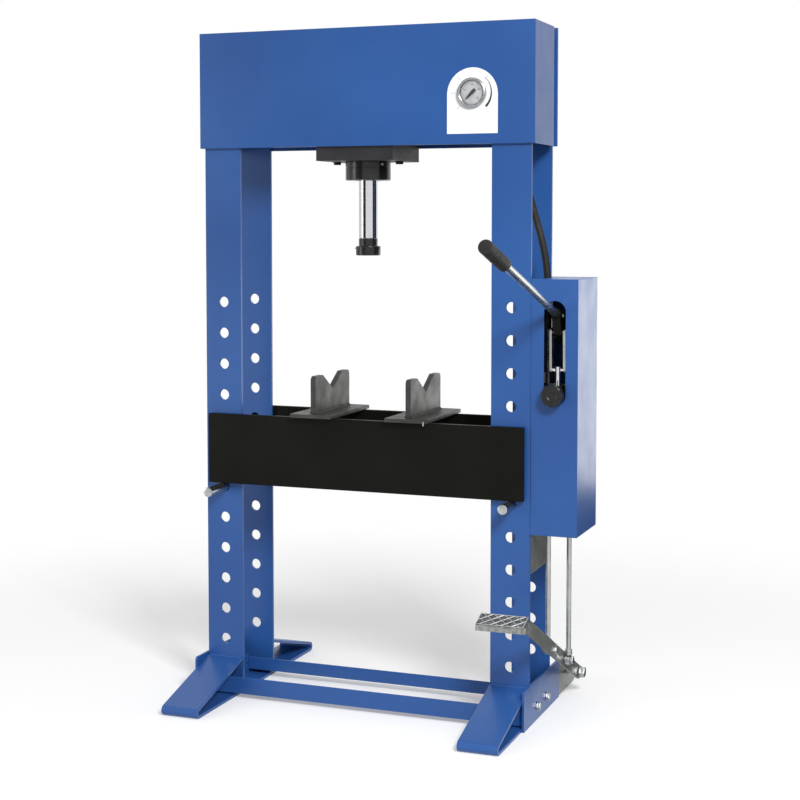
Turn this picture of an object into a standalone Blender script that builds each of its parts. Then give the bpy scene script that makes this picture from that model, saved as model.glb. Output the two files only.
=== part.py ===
"""Hydraulic shop press with a hand lever, a foot pedal and a bed held by two pins.

Everything hangs on one empty. Under it X = 0 is midway between the columns, Y = 0 is
mid-depth with -Y to the front, and Z = 0 is the floor. At the end the empty is moved so
that the whole press stands centred on the world origin. Lengths are in metres.
"""
import math

import bmesh
import bpy
from mathutils import Matrix, Vector
from mathutils.geometry import convex_hull_2d

# Fits
FIT = 0.0003              # gap between pieces that touch
HOLE_FIT = 0.0006         # play round a shank in its hole
SMOOTH_ANGLE = math.radians(35)

# Bed pins, which set the columns' holes
PIN_RADIUS = 0.0125
PIN_PLAY = 0.002          # of a pin in its hole
PIN_OVERHANG = 0.157      # of a pin beyond the columns, front and back together
PIN_LEFT_OUT = 0.095      # how much of it is in front of the column
PIN_RIGHT_OUT = 0.066
PIN_CHAMFER = 0.002

# Columns
COLUMN_SPACING = 0.774    # between the two hole lines
BAR_WIDTH = 0.100
BAR_THICKNESS = 0.008
FRAME_DEPTH = 0.188       # over the front and back bars
HOLE_PITCH = 0.080
HOLE_COUNT = 12
LOWEST_HOLE = 0.138
BED_HOLE = 5              # counted up from the lowest, which is 0
COLUMN_SHORT = 0.005      # of the beam's top edge

# Feet and base
FOOT_REACH = 0.255        # beyond the columns, front and back
FOOT_PLATE = 0.008
FOOT_NOSE_HEIGHT = 0.026
FOOT_SLOPE_TOP = 0.092
FOOT_SLOPE_GAP = 0.0018   # between the slope's middle line and the column
SIDE_PLATE_THICKNESS = 0.006
SIDE_PLATE_REACH = 0.064
SIDE_PLATE_HEIGHT = 0.099
SIDE_PLATE_CHAMFER = 0.006
CLEAT_SETBACK = 0.038     # from the columns' outer faces
CLEAT_WIDTH = 0.042
CLEAT_TOP = 0.058
CLEAT_BOLT_SPACING = 0.086
CLEAT_BOLT_HEIGHT = 0.034
RAIL_THICKNESS = 0.005
FRONT_RAIL_SETBACK = 0.012  # from the side plates' front edges
FRONT_RAIL_BOTTOM = 0.0115
FRONT_RAIL_HEIGHT = 0.043
FRONT_RAIL_LEG = 0.036
BACK_RAIL_SETBACK = 0.040   # from the back bars' rear faces
BACK_RAIL_BOTTOM = 0.0175
BACK_RAIL_HEIGHT = 0.033
BACK_RAIL_LEG = 0.028

# Hexagon bolts: shank radius, width across flats, head height
FOOT_BOLT = (0.005, 0.017, 0.007)
MOUNT_BOLT = (0.006, 0.018, 0.0075)
EYE_BOLT = (0.005, 0.017, 0.007)
PEDAL_STUD = (0.006, 0.024, 0.014)
FOOT_BOLT_LENGTH = 0.030
MOUNT_BOLT_LENGTH = 0.045

# Top beam
HEIGHT = 1.705
BEAM_HEIGHT = 0.293
BEAM_PLATE = 0.008
BEAM_OVERHANG = 0.010
BEAM_END_SHORT = 0.028      # of the back bars' rear faces

# Cylinder and ram
RAM_X = -0.022
BARREL_BORE_RADIUS = 0.042
BARREL_WALL = 0.0155
BARREL_LENGTH = 0.311
BARREL_DROP = 0.048         # below the mount
BARREL_FLANGE = 0.0175      # how far it stands out
BARREL_FLANGE_HEIGHT = 0.014
GLAND_LENGTH = 0.031
BARREL_CAP = 0.016
MOUNT_DROP = 0.035          # how far the mount hangs below the beam
MOUNT_HEIGHT = 0.060
MOUNT_BOLT_OUT = 0.0275     # from the barrel to a bolt's axis
MOUNT_MARGIN = 0.018        # from a bolt's axis to the mount's end
PISTON_HEIGHT = 0.030
PISTON_DROP = 0.050         # stroke left below the piston
ROD_RADIUS = 0.024
ROD_OUT = 0.190             # how far the nose is below the barrel at rest
SPIGOT_STEP = 0.007
SPIGOT_LENGTH = 0.030
NOSE_HEIGHT = 0.043
NOSE_FOOT_HEIGHT = 0.024
NOSE_STEP = 0.0075
NOSE_CHAMFER = 0.002

# Pressure gauge
GAUGE_INSET = 0.147         # in from the columns' outer edges
GAUGE_BELOW_TOP = 0.170
GAUGE_BODY_RADIUS = 0.0335
GAUGE_LIP = 0.0025          # of the bezel beyond the body
GAUGE_WALL = 0.004
GAUGE_FRONT = 0.010
GAUGE_DEPTH = 0.030
DIAL_HEIGHT = 0.002         # in front of the beam
LENS_THICKNESS = 0.002
LENS_SETBACK = 0.001        # behind the bezel's front
BEZEL_CHAMFER = 0.001
NEEDLE_TIP = 0.024
NEEDLE_TAIL = 0.011
NEEDLE_TIP_HALF = 0.0006
NEEDLE_TAIL_HALF = 0.0035
NEEDLE_HUB = 0.0045
NEEDLE_THICKNESS = 0.001
NEEDLE_LIFT = 0.0015        # of its middle above the dial
NEEDLE_REST = math.radians(45)

# Pump housing on the right column
HOUSING_WIDTH = 0.116
HOUSING_BOTTOM = 0.468
HOUSING_HEIGHT = 0.620
HOUSING_WALL = 0.0025
CUT_MARGIN = 0.02           # how far a cutter runs past the face it opens
HOSE_NOTCH_WIDTH = 0.026
HOSE_NOTCH_DEPTH = 0.028
MOUNT_PLATE_THICKNESS = 0.006
MOUNT_PLATE_BOTTOM = 0.370
MOUNT_PLATE_SHORT = 0.003   # of the housing's top
PUMP_OFFSET = 0.059         # middle of the slot, lever and pump, out from the column
PUMP_BODY_WIDTH = 0.090
PUMP_BODY_DEPTH = 0.092
PUMP_BODY_HEIGHT = 0.136
PUMP_BODY_FRONT = 0.008     # behind the front bars' front face
RESERVOIR_WIDTH = 0.104
RESERVOIR_HEIGHT = 0.090
RESERVOIR_CLEARANCE = 0.016  # from the housing, front and back
KNOB_RADIUS = 0.028
KNOB_LENGTH = 0.022
KNOB_EDGE = 0.003
KNOB_STEM_RADIUS = 0.007
KNOB_GAP = 0.008            # between the knob and the housing
KNOB_SEAT = 0.010           # how far the stem sits in the pump body
HOSE_RADIUS = 0.0065
HOSE_PORT_DROP = 0.040      # of the port below the barrel's top

# Hand lever and its links
PIVOT_DEPTH = 0.072         # behind the columns' front
PIVOT_DROP = 0.143          # below the housing's top
PIVOT_PIN_RADIUS = 0.006
PIVOT_BOSS_RADIUS = 0.014
CRANK_RADIUS = 0.040
CRANK_BOSS_RADIUS = 0.010
LEVER_SWING = math.radians(42)
LEVER_ANGLE = math.radians(17)   # rise of the bar towards the front
LEVER_OFFSET = 0.0395            # of the bar's axis above the pivot, square to the bar
BAR_RADIUS = 0.009
BAR_BACK = 0.030                 # along the bar, forward of the pivot
BAR_FRONT = 0.650
SOCKET_WALL = 0.0035
SOCKET_BACK = 0.024
SOCKET_FRONT = 0.082
SOCKET_BLEND_RADIUS = 0.008      # of the cheek where it runs along the socket
CHEEK_WIDTH = 0.020
GRIP_WALL = 0.0075
GRIP_LENGTH = 0.142
GRIP_END = 0.006
GRIP_EDGE = 0.004
LINK_PIN_RADIUS = 0.004
LINK_LENGTH = 0.0913
LINK_THICKNESS = 0.006
LINK_GAP = 0.028                 # between the two links
LINK_WIDTH = 0.016
LINK_HEAD = 0.002                # how much wider its slotted end is, each side
LINK_SLOT_PLAY = 0.006
LINK_SLOT_FIT = 0.0012
PIN_END = 0.002                  # of a cross pin beyond what it carries
CROSSHEAD_RADIUS = 0.005
PLUNGER_RADIUS = 0.008
PLUNGER_LENGTH = 0.108
BORE_FLOOR = 0.004               # room left under the plunger
YOKE_WIDTH = 0.068
YOKE_THICKNESS = 0.006
YOKE_DEPTH = 0.036
YOKE_RISE = 0.020                # above the pivot
SLOT_WIDTH = 0.054
SLOT_ABOVE_PIVOT = 0.091
SLOT_BELOW_PIVOT = 0.161
KNOB_ABOVE_SLOT = 0.027          # its axis, from the slot's lower end
PUMP_BODY_BELOW_PIVOT = 0.119

# Pedal
PEDAL_PIVOT_BACK = 0.048         # behind the side plate
PEDAL_PIVOT_Z = 0.057
PEDAL_ARM_OFFSET = 0.041         # its inner face, out from the column
PEDAL_ARM_THICKNESS = 0.006
PEDAL_ARM_WIDTH = 0.035
PEDAL_RISE = 0.491               # height gained per metre forward
PEDAL_ARM_REACH = 0.450
PEDAL_ARM_SLANT = 0.024          # of its front end
TREAD_WIDTH = 0.116
TREAD_DEPTH = 0.048
TREAD_LIP = 0.012
TREAD_LIP_LEAN = 0.002
TREAD_THICKNESS = 0.004
TREAD_BACK = 0.004               # behind the arm's top corner
TREAD_TILT = math.radians(19)
BRACKET_LENGTH = 0.150
BRACKET_BOTTOM = 0.004
BRACKET_MARGIN = 0.030           # above and behind the pedal's pivot
BRACKET_END_TOP = 0.040
STUD_SHOULDER = 0.005            # its shoulder beyond the shank
STUD_HEAD_GAP = 0.002
PULL_ROD_BACK = 0.145            # from the pedal pivot forward to its eye
RETURN_ROD_BACK = 0.240
ROD_RADIUS_PEDAL = 0.0062
ROD_EYE_RADIUS = 0.013
ROD_EYE_WIDTH = 0.012
PULL_ROD_GAP = 0.0035            # between the arm and the eye
RETURN_ROD_GAP = 0.0050
ROD_TOP = 0.585
EYE_BOLT_SHOULDER = 0.003
EYE_BOLT_END = 0.006

# Bed and V-blocks
BED_SHORT = 0.013                # of the columns' outer edges
BED_HEIGHT = 0.180
BED_PLATE = 0.012
BED_GAP = 0.005                  # between a bed plate and the column
SPACER_INSET = 0.033             # from the columns' inner edges
SPACER_THICKNESS = 0.010
SPACER_SHORT = 0.055             # of the bed's height
V_BLOCK_X = 0.128
V_BASE_WIDTH = 0.112
V_BASE_OVERHANG = 0.019          # beyond the bed plates
V_BASE_THICKNESS = 0.010
V_UPRIGHT_THICKNESS = 0.014
V_UPRIGHT_SETBACK = 0.020        # from the base's ends
V_TOP = 0.105                    # above the bed
V_NOTCH_WIDTH = 0.125
V_NOTCH_DEPTH = 0.040
V_CORNER = 0.012
V_JOINT = 0.002                  # how far the upright sinks in its base

# Sizes that follow from those above
COLUMN_X = COLUMN_SPACING / 2
OUTER_X = COLUMN_X + BAR_WIDTH / 2
INNER_X = COLUMN_X - BAR_WIDTH / 2
FRONT_Y = -FRAME_DEPTH / 2
BACK_Y = FRAME_DEPTH / 2
HOLE_RADIUS = PIN_RADIUS + PIN_PLAY / 2
BEAM_BOTTOM = HEIGHT - BEAM_HEIGHT
BEAM_FACE_Y = FRONT_Y - FIT - BEAM_PLATE
SIDE_PLATE_X = OUTER_X + FIT
SIDE_PLATE_END = FRAME_DEPTH / 2 + SIDE_PLATE_REACH
SIDE_PLATE_OUTER = SIDE_PLATE_X + SIDE_PLATE_THICKNESS
BARREL_RADIUS = BARREL_BORE_RADIUS + BARREL_WALL
MOUNT_BOTTOM = BEAM_BOTTOM - MOUNT_DROP
MOUNT_BOLT_X = BARREL_RADIUS + MOUNT_BOLT_OUT
BARREL_BOTTOM = MOUNT_BOTTOM - BARREL_DROP
BARREL_TOP = BARREL_BOTTOM + BARREL_LENGTH
NOSE_BOTTOM = BARREL_BOTTOM - ROD_OUT
SPIGOT_RADIUS = ROD_RADIUS - SPIGOT_STEP
NOSE_RADIUS = ROD_RADIUS + NOSE_STEP
GAUGE_X = OUTER_X - GAUGE_INSET
GAUGE_Z = HEIGHT - GAUGE_BELOW_TOP
GAUGE_DIAL_RADIUS = GAUGE_BODY_RADIUS - GAUGE_WALL
PIN_LENGTH = FRAME_DEPTH + PIN_OVERHANG
PIN_Z = LOWEST_HOLE + BED_HOLE * HOLE_PITCH - PIN_PLAY / 2 + FIT
BED_HALF_LENGTH = OUTER_X - BED_SHORT
BED_INNER_Y = FRAME_DEPTH / 2 + BED_GAP
BED_BOTTOM = PIN_Z + PIN_RADIUS + FIT
BED_TOP = BED_BOTTOM + BED_HEIGHT
V_BASE_END = BED_INNER_Y + BED_PLATE + V_BASE_OVERHANG
V_UPRIGHT_END = V_BASE_END - V_UPRIGHT_SETBACK
HOUSING_X = OUTER_X + FIT
HOUSING_TOP = HOUSING_BOTTOM + HOUSING_HEIGHT
PUMP_X = OUTER_X + PUMP_OFFSET
PUMP_INNER_X = OUTER_X - FIT
PUMP_FRONT_Y = FRONT_Y + PUMP_BODY_FRONT
PIVOT_Y = FRONT_Y + PIVOT_DEPTH
PIVOT_Z = HOUSING_TOP - PIVOT_DROP
SLOT_TOP = PIVOT_Z + SLOT_ABOVE_PIVOT
SLOT_BOTTOM = PIVOT_Z - SLOT_BELOW_PIVOT
KNOB_Z = SLOT_BOTTOM + KNOB_ABOVE_SLOT
PUMP_BODY_TOP = PIVOT_Z - PUMP_BODY_BELOW_PIVOT
PUMP_BODY_BOTTOM = PUMP_BODY_TOP - PUMP_BODY_HEIGHT
CRANK_ANGLE = LEVER_SWING / 2
PLUNGER_STROKE = 2 * CRANK_RADIUS * math.sin(CRANK_ANGLE)
LINK_Y = PIVOT_Y - CRANK_RADIUS * math.cos(CRANK_ANGLE)
LINK_Z = PIVOT_Z + CRANK_RADIUS * math.sin(CRANK_ANGLE)
PLUNGER_Y = PIVOT_Y - CRANK_RADIUS * (1 + math.cos(CRANK_ANGLE)) / 2
CROSSHEAD_Z = LINK_Z - LINK_LENGTH
CROSS_PIN_HALF = LINK_GAP / 2 + LINK_THICKNESS + PIN_END
SOCKET_RADIUS = BAR_RADIUS + SOCKET_WALL
GRIP_RADIUS = BAR_RADIUS + GRIP_WALL
PEDAL_PIVOT_Y = SIDE_PLATE_END + PEDAL_PIVOT_BACK
PEDAL_ARM_X = OUTER_X + PEDAL_ARM_OFFSET
PEDAL_ARM_OUTER = PEDAL_ARM_X + PEDAL_ARM_THICKNESS


# Scene, materials and placing

def clear_scene():
    for item in list(bpy.data.objects):
        bpy.data.objects.remove(item, do_unlink=True)


def new_collection(name):
    collection = bpy.data.collections.new(name)
    bpy.context.scene.collection.children.link(collection)
    return collection


clear_scene()
PARTS = new_collection("hydraulic_shop_press")
CUTTERS = new_collection("cutters")
MATERIALS = {}


def paint(name, rgb, roughness, metallic=0.0):
    material = bpy.data.materials.new(name)
    material.use_nodes = True
    shader = material.node_tree.nodes["Principled BSDF"]
    shader.inputs["Base Color"].default_value = (*rgb, 1.0)
    shader.inputs["Roughness"].default_value = roughness
    shader.inputs["Metallic"].default_value = metallic
    MATERIALS[name] = material


def make_materials():
    paint("blue_paint", (0.045, 0.145, 0.42), 0.40)
    paint("black_paint", (0.012, 0.012, 0.011), 0.45)
    paint("bare_steel", (0.11, 0.11, 0.11), 0.42, 0.9)
    paint("zinc", (0.50, 0.50, 0.48), 0.35, 1.0)
    paint("chrome", (0.62, 0.63, 0.64), 0.10, 1.0)
    paint("rubber", (0.015, 0.015, 0.016), 0.55)
    paint("plastic", (0.014, 0.014, 0.015), 0.40)
    paint("glass", (0.80, 0.82, 0.84), 0.05)


def empty(name, at, parent=None):
    item = bpy.data.objects.new(name, None)
    item.empty_display_size = 0.05
    PARTS.objects.link(item)
    item.parent = parent
    item.location = at
    return item


def press_point(x, y, z, parent):
    """A point of the press, as a location under the given parent."""
    place = Vector((x, y, z))
    while parent is not None and parent.parent is not None:
        place -= parent.location
        parent = parent.parent
    return place


def settle(item, at, parent, material, smooth=False):
    """Hangs a piece on its parent, in its place in the press, and gives it its paint."""
    item.parent = parent
    item.location = press_point(*at, parent)
    item.data.materials.clear()
    item.data.materials.append(MATERIALS[material])
    if smooth:
        item.data.shade_smooth()
        item.data.set_sharp_from_angle(angle=SMOOTH_ANGLE)
    return item


def new_object(name, mesh, collection=PARTS):
    item = bpy.data.objects.new(name, mesh)
    collection.objects.link(item)
    return item


def mesh_from(bm, name):
    bmesh.ops.recalc_face_normals(bm, faces=bm.faces)
    mesh = bpy.data.meshes.new(name)
    bm.to_mesh(mesh)
    bm.free()
    return mesh


# Shapes

def box_mesh(name, size):
    bm = bmesh.new()
    bmesh.ops.create_cube(bm, size=1.0)
    bmesh.ops.scale(bm, vec=size, verts=bm.verts)
    return mesh_from(bm, name)


def box(name, low, high, parent, material):
    """A rectangular block between two corners."""
    size = [b - a for a, b in zip(low, high)]
    middle = [(a + b) / 2 for a, b in zip(low, high)]
    return settle(new_object(name, box_mesh(name, size)), middle, parent, material)


def cylinder_mesh(name, radius, length, segments=24):
    bm = bmesh.new()
    bmesh.ops.create_cone(bm, cap_ends=True, segments=segments,
                          radius1=radius, radius2=radius, depth=length)
    return mesh_from(bm, name)


AXIS_TURN = {"X": (0, math.pi / 2, 0), "Y": (math.pi / 2, 0, 0), "Z": (0, 0, 0)}


def cylinder(name, radius, low, high, axis, parent, material, segments=24):
    """A round bar along one axis, between two points on that axis."""
    length = (Vector(high) - Vector(low)).length
    item = new_object(name, cylinder_mesh(name, radius, length, segments))
    item.rotation_euler = AXIS_TURN[axis]
    middle = [(a + b) / 2 for a, b in zip(low, high)]
    return settle(item, middle, parent, material, smooth=True)


def circle(centre, radius, count=20):
    step = 2 * math.pi / count
    return [(centre[0] + radius * math.cos(i * step), centre[1] + radius * math.sin(i * step))
            for i in range(count)]


def arc(centre, radius, start, end, count=6):
    angles = [start + (end - start) * i / count for i in range(count + 1)]
    return [(centre[0] + radius * math.cos(a), centre[1] + radius * math.sin(a)) for a in angles]


def rectangle(low, high):
    return [(low[0], low[1]), (high[0], low[1]), (high[0], high[1]), (low[0], high[1])]


def slot(centre, width, height, count=8):
    """An upright or lying slot with round ends."""
    radius = min(width, height) / 2
    run_x, run_y = width / 2 - radius, height / 2 - radius
    points = []
    for i in range(2 * count):
        angle = math.pi * (i + 0.5) / count
        side_x = math.copysign(run_x, math.cos(angle))
        side_y = math.copysign(run_y, math.sin(angle))
        points.append((centre[0] + side_x + radius * math.cos(angle),
                       centre[1] + side_y + radius * math.sin(angle)))
    return points


def hull(points):
    flat = [Vector(p) for p in points]
    return [tuple(flat[i]) for i in convex_hull_2d(flat)]


def ribbon(path, thickness):
    """The outline of a bent strip whose middle follows the path."""
    left, right = [], []
    for i, point in enumerate(path):
        here = Vector(point)
        before = (here - Vector(path[i - 1])).normalized() if i else None
        after = (Vector(path[i + 1]) - here).normalized() if i < len(path) - 1 else None
        before, after = before or after, after or before
        along = (before + after).normalized()
        reach = thickness / 2 / max(along.dot(after), 0.2)
        side = Vector((-along.y, along.x)) * reach
        left.append(tuple(here + side))
        right.append(tuple(here - side))
    return left + right[::-1]


OUTLINE_TURN = {"X": Matrix(((0, 0, 1), (1, 0, 0), (0, 1, 0))),
                "Y": Matrix(((1, 0, 0), (0, 0, -1), (0, 1, 0))),
                "Z": Matrix.Identity(3)}


def outline_mesh(name, outlines, thickness, axis):
    """A flat plate: the first outline is its edge and the others are holes."""
    curve = bpy.data.curves.new(name, "CURVE")
    curve.dimensions = "2D"
    curve.fill_mode = "BOTH"
    curve.extrude = thickness / 2
    for outline in outlines:
        spline = curve.splines.new("POLY")
        spline.points.add(len(outline) - 1)
        for point, (u, v) in zip(spline.points, outline):
            point.co = (u, v, 0.0, 1.0)
        spline.use_cyclic_u = True
    guide = bpy.data.objects.new(name + "_outline", curve)
    CUTTERS.objects.link(guide)
    graph = bpy.context.evaluated_depsgraph_get()
    mesh = bpy.data.meshes.new_from_object(guide.evaluated_get(graph))
    bpy.data.objects.remove(guide, do_unlink=True)
    bm = bmesh.new()
    bm.from_mesh(mesh)
    bmesh.ops.remove_doubles(bm, verts=bm.verts, dist=1e-5)
    bmesh.ops.transform(bm, matrix=OUTLINE_TURN[axis].to_4x4(), verts=bm.verts)
    bpy.data.meshes.remove(mesh)
    return mesh_from(bm, name)


def plate(name, outlines, low, high, axis, parent, material):
    """A plate cut to an outline. X plates are drawn in Y and Z, Y plates in X and Z,
    Z plates in X and Y, always in the press's own places."""
    item = new_object(name, outline_mesh(name, outlines, high - low, axis))
    index = "XYZ".index(axis)
    at = [0.0, 0.0, 0.0]
    at[index] = (low + high) / 2
    return settle(item, at, parent, material)


def turned(name, profile, axis, at, parent, material, steps=32):
    """A turned piece. Its profile is (radius, height) pairs that run down the outer side."""
    bm = bmesh.new()
    verts = [bm.verts.new((radius, 0.0, height)) for radius, height in profile]
    closed = profile[0][0] > 0 and profile[-1][0] > 0
    pairs = list(zip(verts, verts[1:])) + ([(verts[-1], verts[0])] if closed else [])
    for pair in pairs:
        bm.edges.new(pair)
    mesh = bpy.data.meshes.new(name)
    bm.to_mesh(mesh)
    bm.free()
    item = new_object(name, mesh)
    screw = item.modifiers.new("turn", "SCREW")
    screw.axis = "Z"
    screw.steps = steps
    screw.render_steps = steps
    screw.use_merge_vertices = True
    screw.merge_threshold = 0.00001
    screw.use_smooth_shade = True
    item.rotation_euler = AXIS_TURN[axis]
    return settle(item, at, parent, material)


def hex_bolt(name, size, length, at, turn, parent, shoulder=None):
    """A hexagon head above the local XY plane and a round shank below it. A shoulder is a
    thicker stretch of the shank, given as (radius, start, end) below the head."""
    shank, head, height = size
    levels = [(shank, -length)]
    if shoulder:
        radius, start, end = shoulder
        levels += [(shank, -end), (radius, -end), (radius, -start), (shank, -start)]
    levels.append((shank, 0.0))
    bm = bmesh.new()
    ring = bmesh.ops.create_circle(bm, cap_ends=True, segments=12, radius=levels[0][0])["verts"]
    bmesh.ops.translate(bm, vec=(0, 0, levels[0][1]), verts=ring)
    edges = list({e for v in ring for e in v.link_edges})
    for radius, level in levels[1:] + [(None, 0.0), (None, height)]:
        grown = bmesh.ops.extrude_edge_only(bm, edges=edges)["geom"]
        ring = [v for v in grown if isinstance(v, bmesh.types.BMVert)]
        edges = [e for e in grown if isinstance(e, bmesh.types.BMEdge)]
        edges = [e for e in edges if all(v in ring for v in e.verts)]
        for vert in ring:
            angle = math.atan2(vert.co.y, vert.co.x)
            corner = head / 2 / math.cos((angle + math.pi / 6) % (math.pi / 3) - math.pi / 6)
            reach = radius or corner
            vert.co = (reach * math.cos(angle), reach * math.sin(angle), level)
    bmesh.ops.contextual_create(bm, geom=edges)
    item = new_object(name, mesh_from(bm, name))
    item.rotation_euler = turn
    return settle(item, at, parent, "zinc")


def cutter(name, mesh, at, turn, parent):
    item = new_object(name, mesh, CUTTERS)
    item.parent = parent
    item.location = press_point(*at, parent)
    item.rotation_euler = turn
    item.display_type = "WIRE"
    item.hide_render = True
    return item


def combine(item, tool, operation):
    """Cuts the tool from the piece, or joins it on."""
    boolean = item.modifiers.new(tool.name, "BOOLEAN")
    boolean.operation = operation
    boolean.solver = "EXACT"
    boolean.object = tool


# Frame

def hole_heights():
    return [LOWEST_HOLE + i * HOLE_PITCH for i in range(HOLE_COUNT)]


def add_columns(root):
    bottom, top = FOOT_PLATE + FIT, HEIGHT - COLUMN_SHORT
    for side, x in (("left", -COLUMN_X), ("right", COLUMN_X)):
        edge = rectangle((x - BAR_WIDTH / 2, bottom), (x + BAR_WIDTH / 2, top))
        holes = [circle((x, z), HOLE_RADIUS) for z in hole_heights()]
        for row, low in (("front", FRONT_Y), ("back", BACK_Y - BAR_THICKNESS)):
            plate(f"column_{row}_{side}", [edge] + holes, low, low + BAR_THICKNESS,
                  "Y", root, "blue_paint")


def foot_path():
    """The middle of the foot's strip, from the front slope's top to the rear slope's."""
    bend = (FOOT_NOSE_HEIGHT - FOOT_PLATE) / 2
    nose_y = FRAME_DEPTH / 2 + FOOT_REACH - FOOT_NOSE_HEIGHT / 2
    nose_z = FOOT_NOSE_HEIGHT / 2
    top_y = FRAME_DEPTH / 2 + FOOT_SLOPE_GAP
    top_z = FOOT_SLOPE_TOP - FOOT_PLATE / 2
    slope = math.atan2(top_z - nose_z - bend, nose_y - top_y)
    rear = arc((nose_y, nose_z), bend, -math.pi / 2, math.pi / 2 - slope, 8)
    rear.append((top_y, top_z))
    return [(-y, z) for y, z in reversed(rear)] + rear


def add_feet(root):
    outline = ribbon(foot_path(), FOOT_PLATE)
    for side, x in (("left", -COLUMN_X), ("right", COLUMN_X)):
        plate(f"foot_{side}", [outline], x - BAR_WIDTH / 2, x + BAR_WIDTH / 2,
              "X", root, "blue_paint")


def add_side_plates(root):
    half, height, chamfer = SIDE_PLATE_END, SIDE_PLATE_HEIGHT, SIDE_PLATE_CHAMFER
    edge = [(-half, 0.0), (half, 0.0), (half, height - chamfer), (half - chamfer, height),
            (chamfer - half, height), (-half, height - chamfer)]
    bolts = [(y, CLEAT_BOLT_HEIGHT) for y in (-CLEAT_BOLT_SPACING / 2, CLEAT_BOLT_SPACING / 2)]
    holes = [circle(place, FOOT_BOLT[0] + HOLE_FIT, 12) for place in bolts]
    block = rectangle((FRONT_Y + CLEAT_SETBACK, FOOT_PLATE + FIT), (BACK_Y - CLEAT_SETBACK, CLEAT_TOP))
    for side, sign in (("left", -1), ("right", 1)):
        low, high = sorted((sign * SIDE_PLATE_X, sign * SIDE_PLATE_OUTER))
        plate(f"side_plate_{side}", [edge] + holes, low, high, "X", root, "blue_paint")
        low, high = sorted((sign * (OUTER_X - CLEAT_WIDTH), sign * OUTER_X))
        plate(f"foot_cleat_{side}", [block] + holes, low, high, "X", root, "blue_paint")
        for (y, z), row in zip(bolts, ("front", "back")):
            hex_bolt(f"foot_bolt_{row}_{side}", FOOT_BOLT, FOOT_BOLT_LENGTH,
                     (sign * (SIDE_PLATE_OUTER + FIT), y, z), (0, sign * math.pi / 2, 0), root)


def add_rails(root):
    """Two angle irons: the front one ends at the side plates, the back one at the cleats."""
    front = RAIL_THICKNESS / 2 - (SIDE_PLATE_END - FRONT_RAIL_SETBACK)
    back = RAIL_THICKNESS / 2 + BACK_Y - BACK_RAIL_SETBACK
    full = OUTER_X - FIT
    for name, half, face, leg, bottom, height in (
            ("rail_front", full, front, FRONT_RAIL_LEG, FRONT_RAIL_BOTTOM, FRONT_RAIL_HEIGHT),
            ("rail_back", full - CLEAT_WIDTH - FIT, back, BACK_RAIL_LEG, BACK_RAIL_BOTTOM,
             BACK_RAIL_HEIGHT)):
        floor = bottom + RAIL_THICKNESS / 2
        path = [(face, bottom + height), (face, floor), (face + leg, floor)]
        plate(name, [ribbon(path, RAIL_THICKNESS)], -half, half, "X", root, "blue_paint")


def add_beam(root):
    half = OUTER_X + BEAM_OVERHANG
    edge = rectangle((-half, BEAM_BOTTOM), (half, HEIGHT))
    gauge_hole = circle((GAUGE_X, GAUGE_Z), GAUGE_BODY_RADIUS + HOLE_FIT, 24)
    plate("beam_front", [edge, gauge_hole], BEAM_FACE_Y, FRONT_Y - FIT, "Y", root, "blue_paint")
    plate("beam_back", [edge], BACK_Y + FIT, BACK_Y + FIT + BEAM_PLATE, "Y", root, "blue_paint")
    for side, sign in (("left", -1), ("right", 1)):
        low, high = sorted((sign * (half - FIT), sign * (half - FIT - BEAM_PLATE)))
        box(f"beam_end_{side}", (low, FRONT_Y, BEAM_BOTTOM),
            (high, BACK_Y - BEAM_END_SHORT, HEIGHT), root, "blue_paint")


# Cylinder, ram and gauge

def add_cylinder(root):
    half_x, half_y = MOUNT_BOLT_X + MOUNT_MARGIN, FRAME_DEPTH / 2 - FIT
    edge = rectangle((RAM_X - half_x, -half_y), (RAM_X + half_x, half_y))
    top = MOUNT_BOTTOM + MOUNT_HEIGHT
    bolts = [RAM_X - MOUNT_BOLT_X, RAM_X + MOUNT_BOLT_X]
    holes = [circle((RAM_X, 0), BARREL_RADIUS + FIT, 32)]
    holes += [circle((x, 0), MOUNT_BOLT[0] + HOLE_FIT, 12) for x in bolts]
    plate("cylinder_mount", [edge] + holes, MOUNT_BOTTOM, top, "Z", root, "bare_steel")
    for x, side in zip(bolts, ("left", "right")):
        hex_bolt(f"mount_bolt_{side}", MOUNT_BOLT, MOUNT_BOLT_LENGTH,
                 (x, 0, MOUNT_BOTTOM - FIT), (math.pi, 0, 0), root)
    bore, rod = BARREL_BORE_RADIUS, ROD_RADIUS + FIT
    flange_top = top + FIT + BARREL_FLANGE_HEIGHT
    flange = BARREL_RADIUS + BARREL_FLANGE
    profile = [(0, BARREL_TOP), (BARREL_RADIUS, BARREL_TOP), (BARREL_RADIUS, flange_top),
               (flange, flange_top), (flange, top + FIT),
               (BARREL_RADIUS, top + FIT), (BARREL_RADIUS, BARREL_BOTTOM), (rod, BARREL_BOTTOM),
               (rod, BARREL_BOTTOM + GLAND_LENGTH), (bore, BARREL_BOTTOM + GLAND_LENGTH),
               (bore, BARREL_TOP - BARREL_CAP), (0, BARREL_TOP - BARREL_CAP)]
    turned("cylinder_barrel", profile, "Z", (RAM_X, 0, 0), root, "black_paint")


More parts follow.
